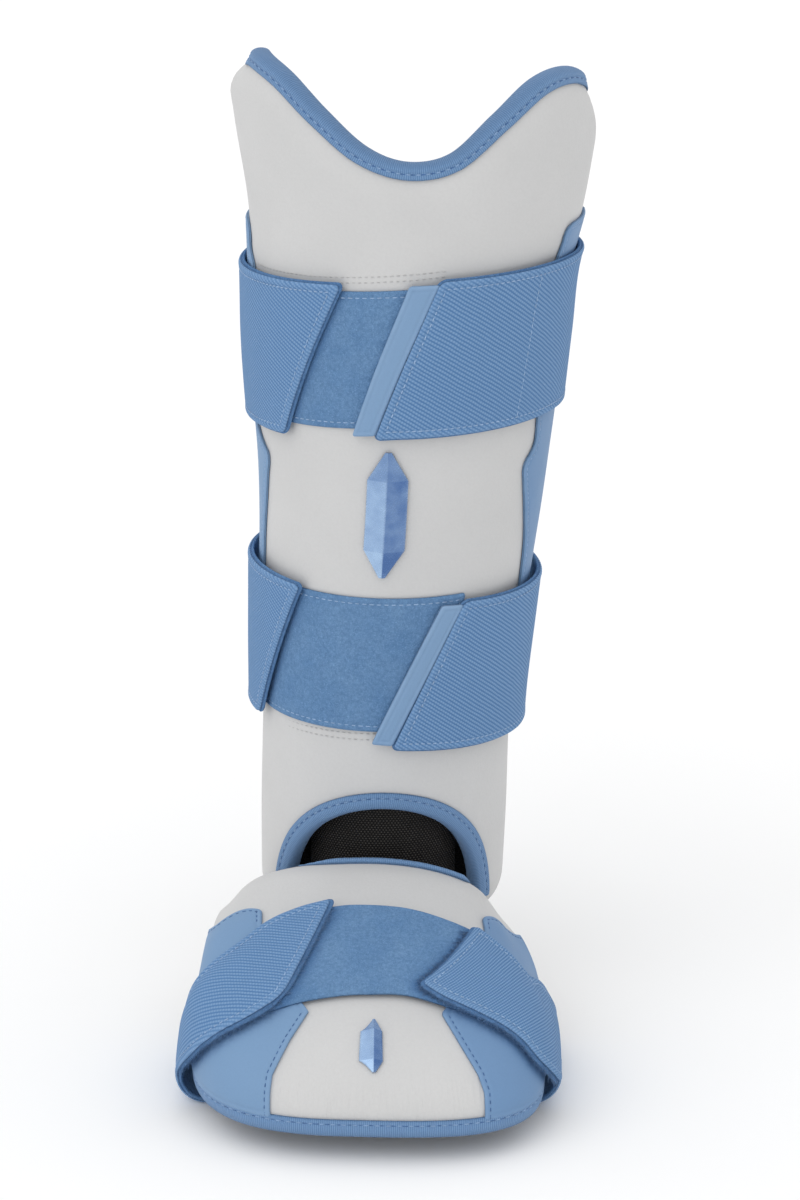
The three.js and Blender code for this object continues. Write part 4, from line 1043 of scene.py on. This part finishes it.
# ------------------------------------------------------------------ leather wings on the shin
LEATHER_TOP = [(0, 0.72), (0.12, 1.0), (0.35, 1.25), (0.8, 1.38), (1.35, 1.36), (1.75, 1.2), (2.05, 1.2), (2.45, 1.34), (3.2, 1.4)]
LEATHER_SIDE = [(0.0, 0.4), (0.1, 0.05), (0.4, 0.0)]


def wing(name, table, end, look):
    curve = through(table[:, 0], table[:, 1])
    z0, z1 = table[0, 0], table[-1, 0]

    def at(s, t, h):
        z = lerp(z0, z1, t)
        deg = lerp(end, curve(z), s) if end < 0 else lerp(curve(z), end, s)
        return on_shin(deg, z, WING_LIFT + h)
    patch = Patch(at)
    body = slab(patch, 26, 110, LEATHER_TOP, LEATHER_SIDE, 1.2,
                puff=lambda s, t, d, p: 0.10 * ripple(p.at(s, t, 1 + 0 * s), 34, 5) * np.clip(d / 4, 0, 1))
    o = finish_piece(emit(name, body, [look]), name)
    rows = Thread()
    q = np.linspace(0.01, 0.975, 260)
    rows.on(patch, patch.inset("s1" if end < 0 else "s0", q, 1.9), 1.2, pitch=2.1, length=1.35, width=0.36)
    q = np.linspace(0.08, 0.95, 60)
    rows.on(patch, patch.inset("t1", q, 1.9), 1.2, pitch=2.1, length=1.35, width=0.36)
    o = rows.emit(name + "_stitching", thread_pale)


wing("wing_left", WING_LEFT, -WING_END, blue_leather)
# The right wing takes the darker copy of the blue leather, as painted shade.
wing("wing_right", WING_RIGHT, WING_END, blue_leather_painted_shade)


# ------------------------------------------------------------------ loop panels on the shin
LOOP_TOP = [(0, 0.55), (0.2, 0.95), (0.55, 1.25), (1.1, 1.4), (1.8, 1.32), (2.3, 1.2), (2.7, 1.28), (3.4, 1.42)]
LOOP_SIDE = [(0.05, 0.25), (0.2, 0.0), (0.5, 0.0)]


def nap(s, t, d, patch):
    p = patch.at(s, t, 1 + 0 * s)
    return (0.05 * ripple(p, 3.1, 21) + 0.05 * ripple(p, 1.7, 22) + 0.06 * ripple(p, 11, 23)) * np.clip(0.25 + d / 2, 0, 1)


LOOP_FLAT = {}
for key, row in LEG_LOOPS.items():
    def at(s, t, h, row=row):
        deg = lerp(row["left"], row["right"], s)
        return on_shin(deg, row["z"] + row["tilt"] * np.sin(np.radians(deg)) + (t - 0.5) * row["width"], SHIN_LOOP_LIFT + h)
    patch = Patch(at)
    body = slab(patch, 150, 62, LOOP_TOP, LOOP_SIDE, 1.0, puff=nap)
    o = finish_piece(emit(f"{key}_loop", body, [loop_pile]), f"{key}_loop")
    rows = Thread()
    q = np.linspace(0.02, 0.98, 300)
    rows.on(patch, patch.inset("t1", q, 2.3), 1.2, pitch=2.7, length=1.7)
    rows.on(patch, patch.inset("t0", q, 2.3), 1.2, pitch=2.7, length=1.7)
    q = np.linspace(0.05, 0.95, 120)
    rows.on(patch, patch.inset("s0", q, 2.3), 1.2, pitch=2.7, length=1.7)
    rows.on(patch, patch.inset("s1", q, 2.3), 1.2, pitch=2.7, length=1.7)
    st = rows.emit(f"{key}_loop_stitching", thread_light)


# ------------------------------------------------------------------ straps round the leg and their tabs
STRAP_TOP = [(0, 1.75), (0.12, 2.05), (0.35, 2.32), (0.8, 2.5), (1.5, 2.54), (2.1, 2.42), (2.5, 2.22), (2.85, 2.22), (3.4, 2.34), (4.4, 2.38)]
STRAP_SIDE = [(0.02, 1.5), (0.25, 1.3), (0.36, 1.15), (0.0, 1.02), (-0.5, 0.92), (-0.75, 0.68), (-0.7, 0.32), (-0.3, 0.05), (0.6, 0.0)]
FOOT_SIDE = [(0.02, 1.5), (0.25, 1.3), (0.36, 1.15), (-0.1, 1.05), (-0.85, 0.98), (-1.3, 0.75), (-1.3, 0.4), (-0.9, 0.08), (0.6, 0.0)]
TAB_TOP = [(0, 1.1), (0.15, 1.5), (0.45, 1.82), (0.9, 1.98), (1.45, 2.0), (1.7, 1.84), (2.0, 1.84), (2.3, 1.97), (3.0, 2.0)]
TAB_SIDE = [(0.0, 0.6), (0.1, 0.1), (0.4, 0.0)]
RIB = (math.cos(math.radians(33)), -math.sin(math.radians(33)))


def strap_lift(row, deg):
    return STRAP_LIFT + row["off"] * np.where(np.cos(np.radians(deg)) < 0, 1.0, np.sin(np.radians(deg)) ** 2)


def strap_height(row, deg):
    return row["z"] + row["tilt"] * np.sin(np.radians(deg)) - row["drop"] * np.clip(deg / 90, 0, 1) * (1 - smooth(deg, 90, 270))


end_of = {}
for key, row in LEG_STRAPS.items():
    def ends(s, t, row=row):
        return lerp(lerp(row["right"][1], row["right"][0], t), 360 + lerp(row["left"][1], row["left"][0], t), s)

    def place(deg, t, h, row=row):
        return shin_point(deg, strap_height(row, deg) + (t - 0.5) * row["width"], strap_lift(row, deg) + h)

    def at(s, t, h, ends=ends, place=place):
        return place(ends(s, t), t, h)
    sweep = np.linspace(-90, 450, 1081)
    arc = np.concatenate([[0], np.cumsum(np.linalg.norm(np.diff(place(sweep, 0 * sweep + 0.5, 1 + 0 * sweep), axis=0), axis=1))])

    def uv(s, t, ends=ends, row=row, arc=arc):
        u, v = np.interp(ends(s, t), sweep, arc), (t - 0.5) * row["width"]
        return u * RIB[0] + v * RIB[1], -u * RIB[1] + v * RIB[0]
    patch = Patch(at, uv)
    body = slab(patch, 210, 26, STRAP_TOP, STRAP_SIDE, 2.2, under=1,
                puff=lambda s, t, d, p: 0.12 * ripple(p.at(s, t, 1 + 0 * s), 40, 7))
    o = finish_piece(emit(f"{key}_strap", body, [strap_web, hook_back]), f"{key}_strap")
    rows = Thread()
    q = np.linspace(0.008, 0.992, 600)
    kw = dict(pitch=2.3, length=1.45, width=0.46, height=0.40)
    rows.on(patch, patch.inset("t1", q, 2.7), 2.24, **kw)
    rows.on(patch, patch.inset("t0", q, 2.7), 2.24, **kw)
    q = np.linspace(0.06, 0.94, 120)
    rows.on(patch, patch.inset("s0", q, 2.7), 2.24, **kw)
    rows.on(patch, patch.inset("s1", q, 2.7), 2.24, **kw)
    if key == "upper":
        k = np.linspace(0, 1, 80)
        deg, t = lerp(50.3, 45.3, k), lerp(0.95, 0.05, k)
        p = place(deg, t, 2.37 + 0 * k)
        rows.run(p, unit(place(deg, t, 3.0 + 0 * k) - p), pitch=2.4, length=1.7, width=0.4, height=0.3)
    st = rows.emit(f"{key}_strap_stitching", thread_light)
    end_of[key] = patch.at(1 + 0 * q, q, 0 * q)

    def tab_at(s, t, h, row=row, place=place):
        deg = lerp(lerp(row["tab"][1], row["tab"][0], t), lerp(row["right"][1], row["right"][0], t) + 0.05, s)
        return place(deg, lerp(0.02, 0.98, t), h)
    patch = Patch(tab_at)
    body = slab(patch, 12, 64, TAB_TOP, TAB_SIDE, 1.0)
    o = finish_piece(emit(f"{key}_tab", body, [tab_leather]), f"{key}_tab")


# ------------------------------------------------------------------ instep dome
dome_cols = np.interp(np.linspace(0, 1, 201), np.linspace(0, 1, len(_D)), _D) * 0
g = np.concatenate([[0, 0.5, 1.2, 2.2, 3.6, 5.4], np.linspace(8, _ARC[-1] - 8, 205), _ARC[-1] - np.array([5.4, 3.6, 2.2, 1.2, 0.5, 0])])
dome_cols = np.interp(g, _ARC, _D)
dome_rows = np.concatenate([[0, 0.006, 0.014, 0.026, 0.042, 0.062], np.linspace(0.085, 0.90, 66), [0.913, 0.926, 0.938, 0.95, 0.961, 0.971, 0.980, 0.988, 0.995, 1.0]])
DEG, UP = np.meshgrid(dome_cols, dome_rows, indexing="ij")
edge_roll, back_roll = dome_rolls(DEG, UP)
base = on_dome(DEG, UP, 0.0)
calm = 1 - np.clip(edge_roll + back_roll, 0, 1)
outer = on_dome(DEG, UP, 0.25 * ripple(base, 48, 9) * calm)
inner = in_dome(DEG, UP, 0.0)
away = outward(outer)
covered = np.zeros(UP.shape)
covered[:, 0] = 1
covered[(DEG[:, 0] > INSTEP_FROM) & (DEG[:, 0] < INSTEP_TO), -1] = 1
uv = np.stack([np.interp(DEG, _D, _ARC), UP * 110], -1)
crease = smooth(UP, 0.30, 0.07) * 0.55 + smooth(UP, 0.80, 0.99) * smooth(DEG, 15, 60) * 0.5
shell = two_faced(outer, inner, uv, away, np.where(covered > 0, 0.5, 2.2), rings=7,
                  edge=np.clip(edge_roll + back_roll, 0, 1) ** 2 * 0.5)
o = finish_piece(emit("foot_shell", shell, [dome_leather, lining]), "foot_shell")
value = np.zeros(len(o.data.vertices))
value[:crease.size] = crease.ravel()
set_value(o, "crease", value)


# ------------------------------------------------------------------ side panels of the dome
def panel(name, table, from_outer, look):
    n = np.linspace(0, 1, len(table))

    def at(s, t, h):
        t = np.clip(t, 0, 1)
        od, ou, idg, iu, bg = (np.interp(t, n, table[:, i]) for i in range(5))
        k = s if from_outer else 1 - s
        deg = girth_lerp(od, idg, k)
        u = (deg - od) / (idg - od)
        return on_dome(deg, lerp(ou, iu, u) + bg * 4 * u * (1 - u), PANEL_LIFT + h)
    patch = Patch(at)
    body = slab(patch, 80, 66, LEATHER_TOP, LEATHER_SIDE, 1.0,
                puff=lambda s, t, d, p: 0.10 * ripple(p.at(s, t, 1 + 0 * s), 30, 6) * np.clip(d / 4, 0, 1))
    o = finish_piece(emit(name, body, [look]), name)
    rows = Thread()
    edge = "s1" if from_outer else "s0"
    rows.on(patch, patch.inset(edge, np.linspace(0.0, 4 / 6 - 0.01, 160), 1.9), 1.2, pitch=2.5, length=1.45)
    rows.on(patch, patch.inset("t1", np.linspace(0.05, 0.97, 160), 1.9), 1.2, pitch=2.5, length=1.45)
    rows.on(patch, patch.inset(edge, np.linspace(5 / 6, 0.98, 60), 1.9), 1.2, pitch=2.5, length=1.45)
    # The panel stitches use dark thread, darkened as painted shade in their holes.
    o = rows.emit(name + "_stitching", thread_painted_shade)


panel("foot_panel_left", PANEL_LEFT, True, blue_leather)
# The right panel takes the darker copy of the blue leather, as painted shade.
panel("foot_panel_right", PANEL_RIGHT, False, blue_leather_painted_shade)


# ------------------------------------------------------------------ loop panel and strap of the dome
def band(table):
    n = np.linspace(0, 1, len(table))
    return [through(n, table[:, i]) for i in range(4)]


loop_band = band(DOME_LOOP)


def loop_at(s, t, h):
    ud, up, ld, lo_ = (f(s) for f in loop_band)
    return on_dome(lerp(ld, ud, t), lerp(lo_, up, t), FOOT_LOOP_LIFT + h)


patch = Patch(loop_at)
body = slab(patch, 150, 52, LOOP_TOP, LOOP_SIDE, 1.0, puff=nap)
o = finish_piece(emit("foot_loop", body, [loop_pile]), "foot_loop")

flap_l, flap_r = band(FLAP_LEFT), band(FLAP_RIGHT)


def flap_at(flap, n, t, h):
    ud, up, ld, lo_ = (f(n) for f in flap)
    seat = lerp(FOOT_STRAP_END_LIFT, FOOT_STRAP_LIFT, smooth(n, 0.72, 1.0))
    seat = seat - 1.4 * (1 - smooth(t, 0.0, 0.32)) * smooth(n, 0.2, 0.45) * (1 - smooth(n, 0.75, 1.0))
    return dome_point(lerp(ud, ld, t), lerp(up, lo_, t), seat + h)


def turn_at(flap, bend, t, h):
    ud, ld = flap[0](np.ones_like(t)), flap[2](np.ones_like(t))
    r = SOLE_RADIUS + h
    q = dome_point(lerp(ud, ld, t), 0 * t, FOOT_STRAP_LIFT - SOLE_RADIUS + r * np.cos(bend))
    q[..., 2] = SOLE_HEIGHT - r * np.sin(bend)
    return q


FLAP, TURN = 0.31, 0.045      # shares of the strap's length: each flap, each turn under the rim


def foot_strap_at(s, t, h):
    s, t, h = (np.array(x, float) for x in np.broadcast_arrays(s, t, h))
    quarter = math.pi / 2
    k = np.clip((s - FLAP) / TURN, 0, 1) * quarter
    j = np.clip((1 - FLAP - s) / TURN, 0, 1) * quarter
    down = flap_at(flap_l, np.clip(s / FLAP, 0, 1), t, h)
    rise = flap_at(flap_r, np.clip((1 - s) / FLAP, 0, 1), t, h)
    turn_l, turn_r = turn_at(flap_l, k, t, h), turn_at(flap_r, j, t, h)
    sole = lerp(turn_at(flap_l, 0 * t + quarter, t, h), turn_at(flap_r, 0 * t + quarter, t, h),
                np.clip((s - FLAP - TURN) / (1 - 2 * FLAP - 2 * TURN), 0, 1)[..., None])
    return np.where((s < FLAP)[..., None], down, np.where((s < FLAP + TURN)[..., None], turn_l, np.where(
        (s < 1 - FLAP - TURN)[..., None], sole, np.where((s < 1 - FLAP)[..., None], turn_r, rise))))


def foot_strap_past(s, t, h):
    """The same, carried on straight past its two ends."""
    s, t, h = (np.array(x, float) for x in np.broadcast_arrays(s, t, h))
    end = np.clip(s, 0, 1)
    before = np.where(s < 0, 0.008, 0.992)
    k = (s - end) / (end - before + np.where(s == end, 1.0, 0.0))
    p = foot_strap_at(end, t, h)
    return p + (p - foot_strap_at(before, t, h)) * np.where(s == end, 0.0, k)[..., None]


AZ, PITCH, DISTANCE, HEIGHT = math.radians(3.0), math.radians(17.75), 1.25, 0.56
AHEAD = np.array([-math.sin(AZ) * math.cos(PITCH), math.cos(AZ) * math.cos(PITCH), -math.sin(PITCH)])
ASIDE = np.array([math.cos(AZ), math.sin(AZ), 0.0])
ABOVE = np.cross(ASIDE, AHEAD)
_T = np.linspace(0, 1, 21)


def laid_flat(s, rib, coarse):
    """Flat sizes of half the foot strap, from its end s[0] inwards: its middle line keeps its bends and the
    lines across keep their slant. The ribs come out at that angle as seen from the front."""
    S, T = np.meshgrid(s, _T, indexing="ij")
    p = foot_strap_at(S, T, 0 * S + 1)
    mid = p[:, 10]
    step = np.diff(mid, axis=0)
    run = np.concatenate([[0], np.cumsum(np.linalg.norm(step, axis=1))])
    along = unit(np.gradient(mid, axis=0))
    over = unit(p[:, 11] - p[:, 9])
    normal = unit(np.cross(along, over))
    beside = np.cross(normal, along)
    on_flap = np.abs(s - s[0]) < FLAP * 0.985
    turn = np.concatenate([[0], (np.diff(along, axis=0) * beside[:-1]).sum(-1)]) * on_flap
    head = np.cumsum(turn)
    slant = np.unwrap(np.arctan2((over * beside).sum(-1), (over * along).sum(-1)))
    way = np.stack([np.cos(head), np.sin(head)], -1)
    flat = np.cumsum(np.concatenate([[[0, 0]], (way[1:] + way[:-1]) / 2 * np.diff(run)[:, None]]), axis=0)
    width = np.concatenate([np.zeros((len(s), 1)), np.cumsum(np.linalg.norm(np.diff(p, axis=1), axis=-1), axis=1)], 1)
    width = width - width[:, 10:11]
    flat = flat[:, None] + width[..., None] * np.stack([np.cos(head + slant), np.sin(head + slant)], -1)[:, None]
    i = int(np.argmin(np.abs(np.abs(s - s[0]) - FLAP * 0.4)))
    to_flat = np.stack([flat[i + 4, 10] - flat[i - 4, 10], flat[i, 14] - flat[i, 6]], 1)
    moves = np.stack([p[i + 4, 10] - p[i - 4, 10], p[i, 14] - p[i, 6]], 1)
    seen = np.stack([ASIDE, ABOVE]) @ moves
    f = to_flat @ np.linalg.solve(seen, [math.cos(math.radians(rib)), math.sin(math.radians(rib))])
    f = f / np.hypot(*f)
    return np.stack([flat @ f, flat @ [-f[1], f[0]] * coarse], -1)


_HALF = np.linspace(0, 0.5, 201)
_FLAT_LEFT, _FLAT_RIGHT = laid_flat(_HALF, 2.0, 0.9), laid_flat(1 - _HALF, 26.0, 1.32)


def foot_strap_uv(s, t):
    """Along and across the ribs, which lie level on the left flap and slant on the right one."""
    s, t = np.broadcast_arrays(np.asarray(s, float), np.asarray(t, float))
    out = []
    for table, x in ((_FLAT_LEFT, s), (_FLAT_RIGHT, 1 - s)):
        x, y = np.clip(x, 0, 0.5) * 400, np.clip(t, 0, 1) * 20
        i, j = np.minimum(x.astype(int), 199), np.minimum(y.astype(int), 19)
        fx, fy = (x - i)[..., None], (y - j)[..., None]
        out.append(lerp(lerp(table[i, j], table[i + 1, j], fx), lerp(table[i, j + 1], table[i + 1, j + 1], fx), fy))
    uv = np.where((s < 0.5)[..., None], out[0], out[1])
    return uv[..., 0], uv[..., 1]


foot_patch = Patch(foot_strap_past)
foot_patch.uv = foot_strap_uv
body = slab(foot_patch, 230, 30, STRAP_TOP, FOOT_SIDE, 2.0, under=1,
            puff=lambda s, t, d, p: 0.12 * ripple(p.at(s, t, 1 + 0 * s), 34, 8))
o = finish_piece(emit("foot_strap", body, [strap_web, hook_back]), "foot_strap")
rows = Thread()
q = np.linspace(0.01, 0.99, 600)
kw = dict(pitch=2.3, length=1.45, width=0.46, height=0.40)
rows.on(foot_patch, foot_patch.inset("t0", q, 2.7), 2.24, **kw)
rows.on(foot_patch, foot_patch.inset("t1", q, 2.7), 2.24, **kw)
q = np.linspace(0.06, 0.94, 120)
rows.on(foot_patch, foot_patch.inset("s0", q, 2.7), 2.24, **kw)
rows.on(foot_patch, foot_patch.inset("s1", q, 2.7), 2.24, **kw)
st = rows.emit("foot_strap_stitching", thread_light)


def near_line(o, lines, reach):
    """How close each of a piece's points is to some lines: 1 on them, fading out over that reach."""
    p = np.empty(len(o.data.vertices) * 3, np.float32)
    o.data.vertices.foreach_get("co", p)
    p = p.reshape(-1, 3) * 1000 + np.array([0, 0, ANKLE_HEIGHT])
    d = np.full(len(p), 1e9)
    for q in lines:
        for i in range(0, len(q), 20):
            d = np.minimum(d, np.linalg.norm(p[:, None] - q[None, i:i + 20], axis=-1).min(1))
    return np.exp(-(np.maximum(0, d - 1.2) / reach) ** 2)


def fuzz(name, slot, runs, count, seed):
    """Fine fibres that stick out from under an edge; runs are (points, outward, up) along it."""
    r = np.random.default_rng(seed)
    body = Body()
    for p, out_, up_ in runs:
        along = np.concatenate([[0], np.cumsum(np.linalg.norm(np.diff(p, axis=0), axis=1))])
        n = int(count * along[-1])
        x = r.uniform(0, along[-1], n)
        pick = lambda a: np.stack([np.interp(x, along, a[:, i]) for i in range(3)], -1)
        base, o_, u_ = pick(p), unit(pick(out_)), unit(pick(up_))
        side_ = np.cross(o_, u_)
        way = unit(o_ + side_ * r.normal(0, 0.7, (n, 1)))
        long_, thick = r.gamma(3.0, 0.48, (n, 1)), r.uniform(0.06, 0.12, (n, 1))
        base = base + o_ * r.uniform(-0.5, 0.2, (n, 1)) + u_ * r.uniform(-0.2, 0.7, (n, 1))
        drop = r.uniform(-0.9, 0.25, (n, 1))
        cross = np.cross(way, u_)
        rings = []
        for f, k in ((0.0, 1.0), (0.5, 0.9), (1.0, 0.35)):
            c = base + way * (long_ * f) + u_ * (drop * f * f) + cross * (long_ * 0.25 * f * f * np.sign(drop))
            for a in (0, 120, 240):
                rings.append(c + (cross * math.cos(math.radians(a)) + u_ * math.sin(math.radians(a))) * thick * k)
        v = np.stack(rings, 1)
        first = body.add(v, np.stack([np.tile(np.repeat([0.0, 0.5, 1.0], 3), (n, 1)) * long_, np.tile(np.tile([0, 0.33, 0.66], 3), (n, 1))], -1))
        one = np.array([[i * 3 + j, i * 3 + (j + 1) % 3, (i + 1) * 3 + (j + 1) % 3, (i + 1) * 3 + j] for i in range(2) for j in range(3)])
        body.faces((one[None] + (first + np.arange(n) * 9)[:, None, None]).reshape(-1, 4))
    emit(name, body, [fuzz_look])


def edge_run(patch, s, t, ds, dt, h):
    """Points along an edge of a patch with the directions off it and up from it."""
    s, t = (np.array(x, float) for x in np.broadcast_arrays(s, t))
    p = patch.at(s, t, np.full(s.shape, h))
    return p, p - patch.at(s - ds * 0.02, t - dt * 0.02, np.full(s.shape, h)), patch.at(s, t, np.full(s.shape, h + 0.5)) - p


q = np.linspace(0, 1, 160)
# Painted shadow on the leg loops beside the straps' ends.
for key, line in end_of.items():
    set_value(PIECES[f"{key}_loop"], "shade", 0.7 * near_line(PIECES[f"{key}_loop"], [line], 1.5))
lower_l, lower_r = edge_run(foot_patch, q * FLAP * 0.98, 1.024 + 0 * q, 0, 1, 0.4), edge_run(foot_patch, 1 - q * FLAP * 0.98, 1.024 + 0 * q, 0, 1, 0.4)
end_l, end_r = (edge_run(foot_patch, x + 0 * q, 0.1 + 0.9 * q, y, 0, 0.4) for x, y in ((-0.004, -1), (1.004, 1)))
fuzz("foot_strap_fuzz", "webbing", [lower_l, lower_r, end_l, end_r], 14.0, 31)
# Painted shadow on the foot's loop and side panels along the foot strap's edges and ends.
for name in ("foot_loop", "foot_panel_left", "foot_panel_right"):
    set_value(PIECES[name], "shade", 0.85 * near_line(PIECES[name], [x[0] for x in (lower_l, lower_r, end_l, end_r)], 2.4))


# ------------------------------------------------------------------ tongue
def tongue_at(s, t, h):
    s, t, h = (np.array(x, float) for x in np.broadcast_arrays(s, t, h))
    n = np.linspace(0, 1, len(TONGUE_ROWS))
    z, forward, lean = (through(n, TONGUE_ROWS[:, i])(t) for i in range(3))
    off = lerp(-TONGUE["reach"], TONGUE["reach"], s)
    deg = off + TONGUE["centre"]
    d = np.abs(off)
    fold = np.where(d < TONGUE["foldDeep"], smooth(d, TONGUE["foldFrom"], TONGUE["foldDeep"]),
                    1 - smooth(d, TONGUE["foldDeep"], TONGUE["reach"])) * -TONGUE["foldDepth"]
    tuck = 1 - smooth(d, TONGUE["tuckFull"], TONGUE["tuckNone"])
    a = np.radians(lean * tuck)
    back = TONGUE["thick"] - h
    q = shin_point(deg, z, TONGUE["lift"] + fold - back * np.cos(a))
    q[..., 1] -= forward * tuck
    q[..., 2] -= back * np.sin(a)
    return q


patch = Patch(tongue_at)
body = slab(patch, 120, 60, [(0, 0.8), (0.15, 1.2), (0.5, 1.5), (1.2, 1.6)], [(0.0, 0.5), (0.15, 0.1), (0.5, 0.0)], 1.0, under=1,
            puff=lambda s, t, d, p: 0.25 * ripple(p.at(s, t, 1 + 0 * s), 24, 4) * np.clip(d / 6, 0, 1))
o = finish_piece(emit("ankle_tongue", body, [nylon_look, lining]), "ankle_tongue")
# Painted shade on the tongue's folded-back sides.
side_of = np.abs(np.concatenate(body.uv)[:, 0] / patch.us[-1] - 0.5) * 2 * TONGUE["reach"]
set_value(o, "shade", smooth(side_of, TONGUE["foldFrom"] - 4, TONGUE["foldFrom"] + 3))


# ------------------------------------------------------------------ badges
def lozenge(t):
    return np.clip(1.9 * (1 - np.abs(2 * t - 1)) + 0.16, 0, 1)


def badge(name, size, surface, node):
    """A blunt-ended lozenge with a ridge down its middle, its edges slightly eased."""
    s = np.array([0, 0.02, 0.06, 0.2, 0.35, 0.475, 0.5, 0.525, 0.65, 0.8, 0.94, 0.98, 1.0])
    knee = (1 - 0.16) / 1.9 / 2
    t = np.unique(np.concatenate([np.linspace(0, knee - 0.02, 9), [knee - 0.008, knee, knee + 0.008], np.linspace(knee + 0.02, 1 - knee - 0.02, 9),
                                  [1 - knee - 0.008, 1 - knee, 1 - knee + 0.008], np.linspace(1 - knee + 0.02, 1, 9)]))
    S, T = np.meshgrid(s, t, indexing="ij")
    body = Body()
    tops = size["edge"] + size["ridge"] * (1 - np.abs(2 * S - 1)) * lozenge(T)
    ease = np.interp(np.minimum(S, 1 - S), [0, 0.02, 0.06], [0.35, 0.1, 0.0]) + 0.12 * np.exp(-((S - 0.5) / 0.012) ** 2)
    first = body.add(surface(S, T, GAP + tops - ease), np.stack([S * size["width"], T * size["height"]], -1),
                     np.clip(ease * 2, 0, 1))
    body.faces(grid_quads(len(s), len(t)))
    low = body.add(surface(S, T, GAP + 0 * tops), None, 0.5)
    body.faces(grid_quads(len(s), len(t))[:, ::-1] + low)
    body.faces(strip(low + border(len(s), len(t)), first + border(len(s), len(t))))
    o = emit(name, body, [badge_mat], flat=True)
    # Painted light and shade on the facets: the left facets lighter and the right ones darker, varying towards the two
    # ends.
    lean = np.interp(S, [0.475, 0.525], [1.0, 0.0])
    end = np.where(T < knee, 1.0, np.where(T > 1 - knee, -1.0, 0.0))
    painted_facet_light = lerp(0.18 - 0.14 * end, 0.72 + 0.22 * end, lean)
    set_value(o, "painted_facet_light", np.concatenate([painted_facet_light.ravel(), np.full(S.size, 0.3)]))
    finish_piece(o, node)


def on_shin_badge(s, t, h):
    z = SHIN_BADGE["z"] + (t - 0.5) * SHIN_BADGE["height"]
    deg = SHIN_BADGE["deg"] + np.degrees((s - 0.5) * SHIN_BADGE["width"] * lozenge(t) / SECTION["front"](z))
    return on_shin(deg, z, h)


PER_DEGREE = (np.interp(4.5, _D, _GIRTH) - np.interp(-1.5, _D, _GIRTH)) / 6


def on_dome_badge(s, t, h):
    up = FOOT_BADGE["up"] + (t - 0.5) * FOOT_BADGE["height"] / 118
    return on_dome(FOOT_BADGE["deg"] + (s - 0.5) * FOOT_BADGE["width"] * lozenge(t) / PER_DEGREE, up, h)


badge("shin_badge", SHIN_BADGE, on_shin_badge, "shin_badge")
badge("foot_badge", FOOT_BADGE, on_dome_badge, "foot_badge")

# ------------------------------------------------------------------ floor, light and camera
scene = bpy.context.scene
FLOOR = -ANKLE_HEIGHT / 1000 - 0.0003
mesh = bpy.data.meshes.new("floor")
mesh.from_pydata([(-14, -6, FLOOR), (14, -6, FLOOR), (14, 24, FLOOR), (-14, 24, FLOOR)], [], [(0, 1, 2, 3)])
floor = bpy.data.objects.new("floor", mesh)
scene.collection.objects.link(floor)
k = Look("floor", 0.8, Specular_IOR_Level=0.1)
mesh.materials.append(k.done(k.mix(k.noise(3, 2), srgb(247, 247, 247), srgb(250, 250, 250))))

world = bpy.data.worlds.new("studio")
scene.world = world
world.use_nodes = True
world.node_tree.nodes["Background"].inputs[0].default_value = (1.0, 1.0, 1.0, 1.0)
world.node_tree.nodes["Background"].inputs[1].default_value = 0.86


def sun(name, towards, power, softness):
    light = bpy.data.lights.new(name, "SUN")
    light.energy, light.angle = power, math.radians(softness)
    o = bpy.data.objects.new(name, light)
    o.rotation_euler = Vector(towards).to_track_quat("-Z", "Y").to_euler()
    o.location = (-2 * towards[0], -2 * towards[1], 2)
    scene.collection.objects.link(o)


sun("key", (0.75, 0.9, -0.9), 0.50, 60)
sun("top", (0.05, 0.15, -1.0), 0.50, 90)

cam = bpy.data.cameras.new("camera")
cam.sensor_fit, cam.sensor_width, cam.sensor_height = "VERTICAL", 36.0, 36.0
cam.lens = 3466 * 36 / 1200
cam.clip_start, cam.clip_end = 0.01, 100
camera = bpy.data.objects.new("camera", cam)
pose = Matrix((Vector(ASIDE), Vector(ABOVE), Vector(-AHEAD))).transposed().to_4x4()
pose.translation = Vector((0.008 + DISTANCE * math.sin(AZ), -DISTANCE * math.cos(AZ), HEIGHT - ANKLE_HEIGHT / 1000))
camera.matrix_world = pose
scene.collection.objects.link(camera)
scene.camera = camera
scene.view_settings.view_transform = "Standard"
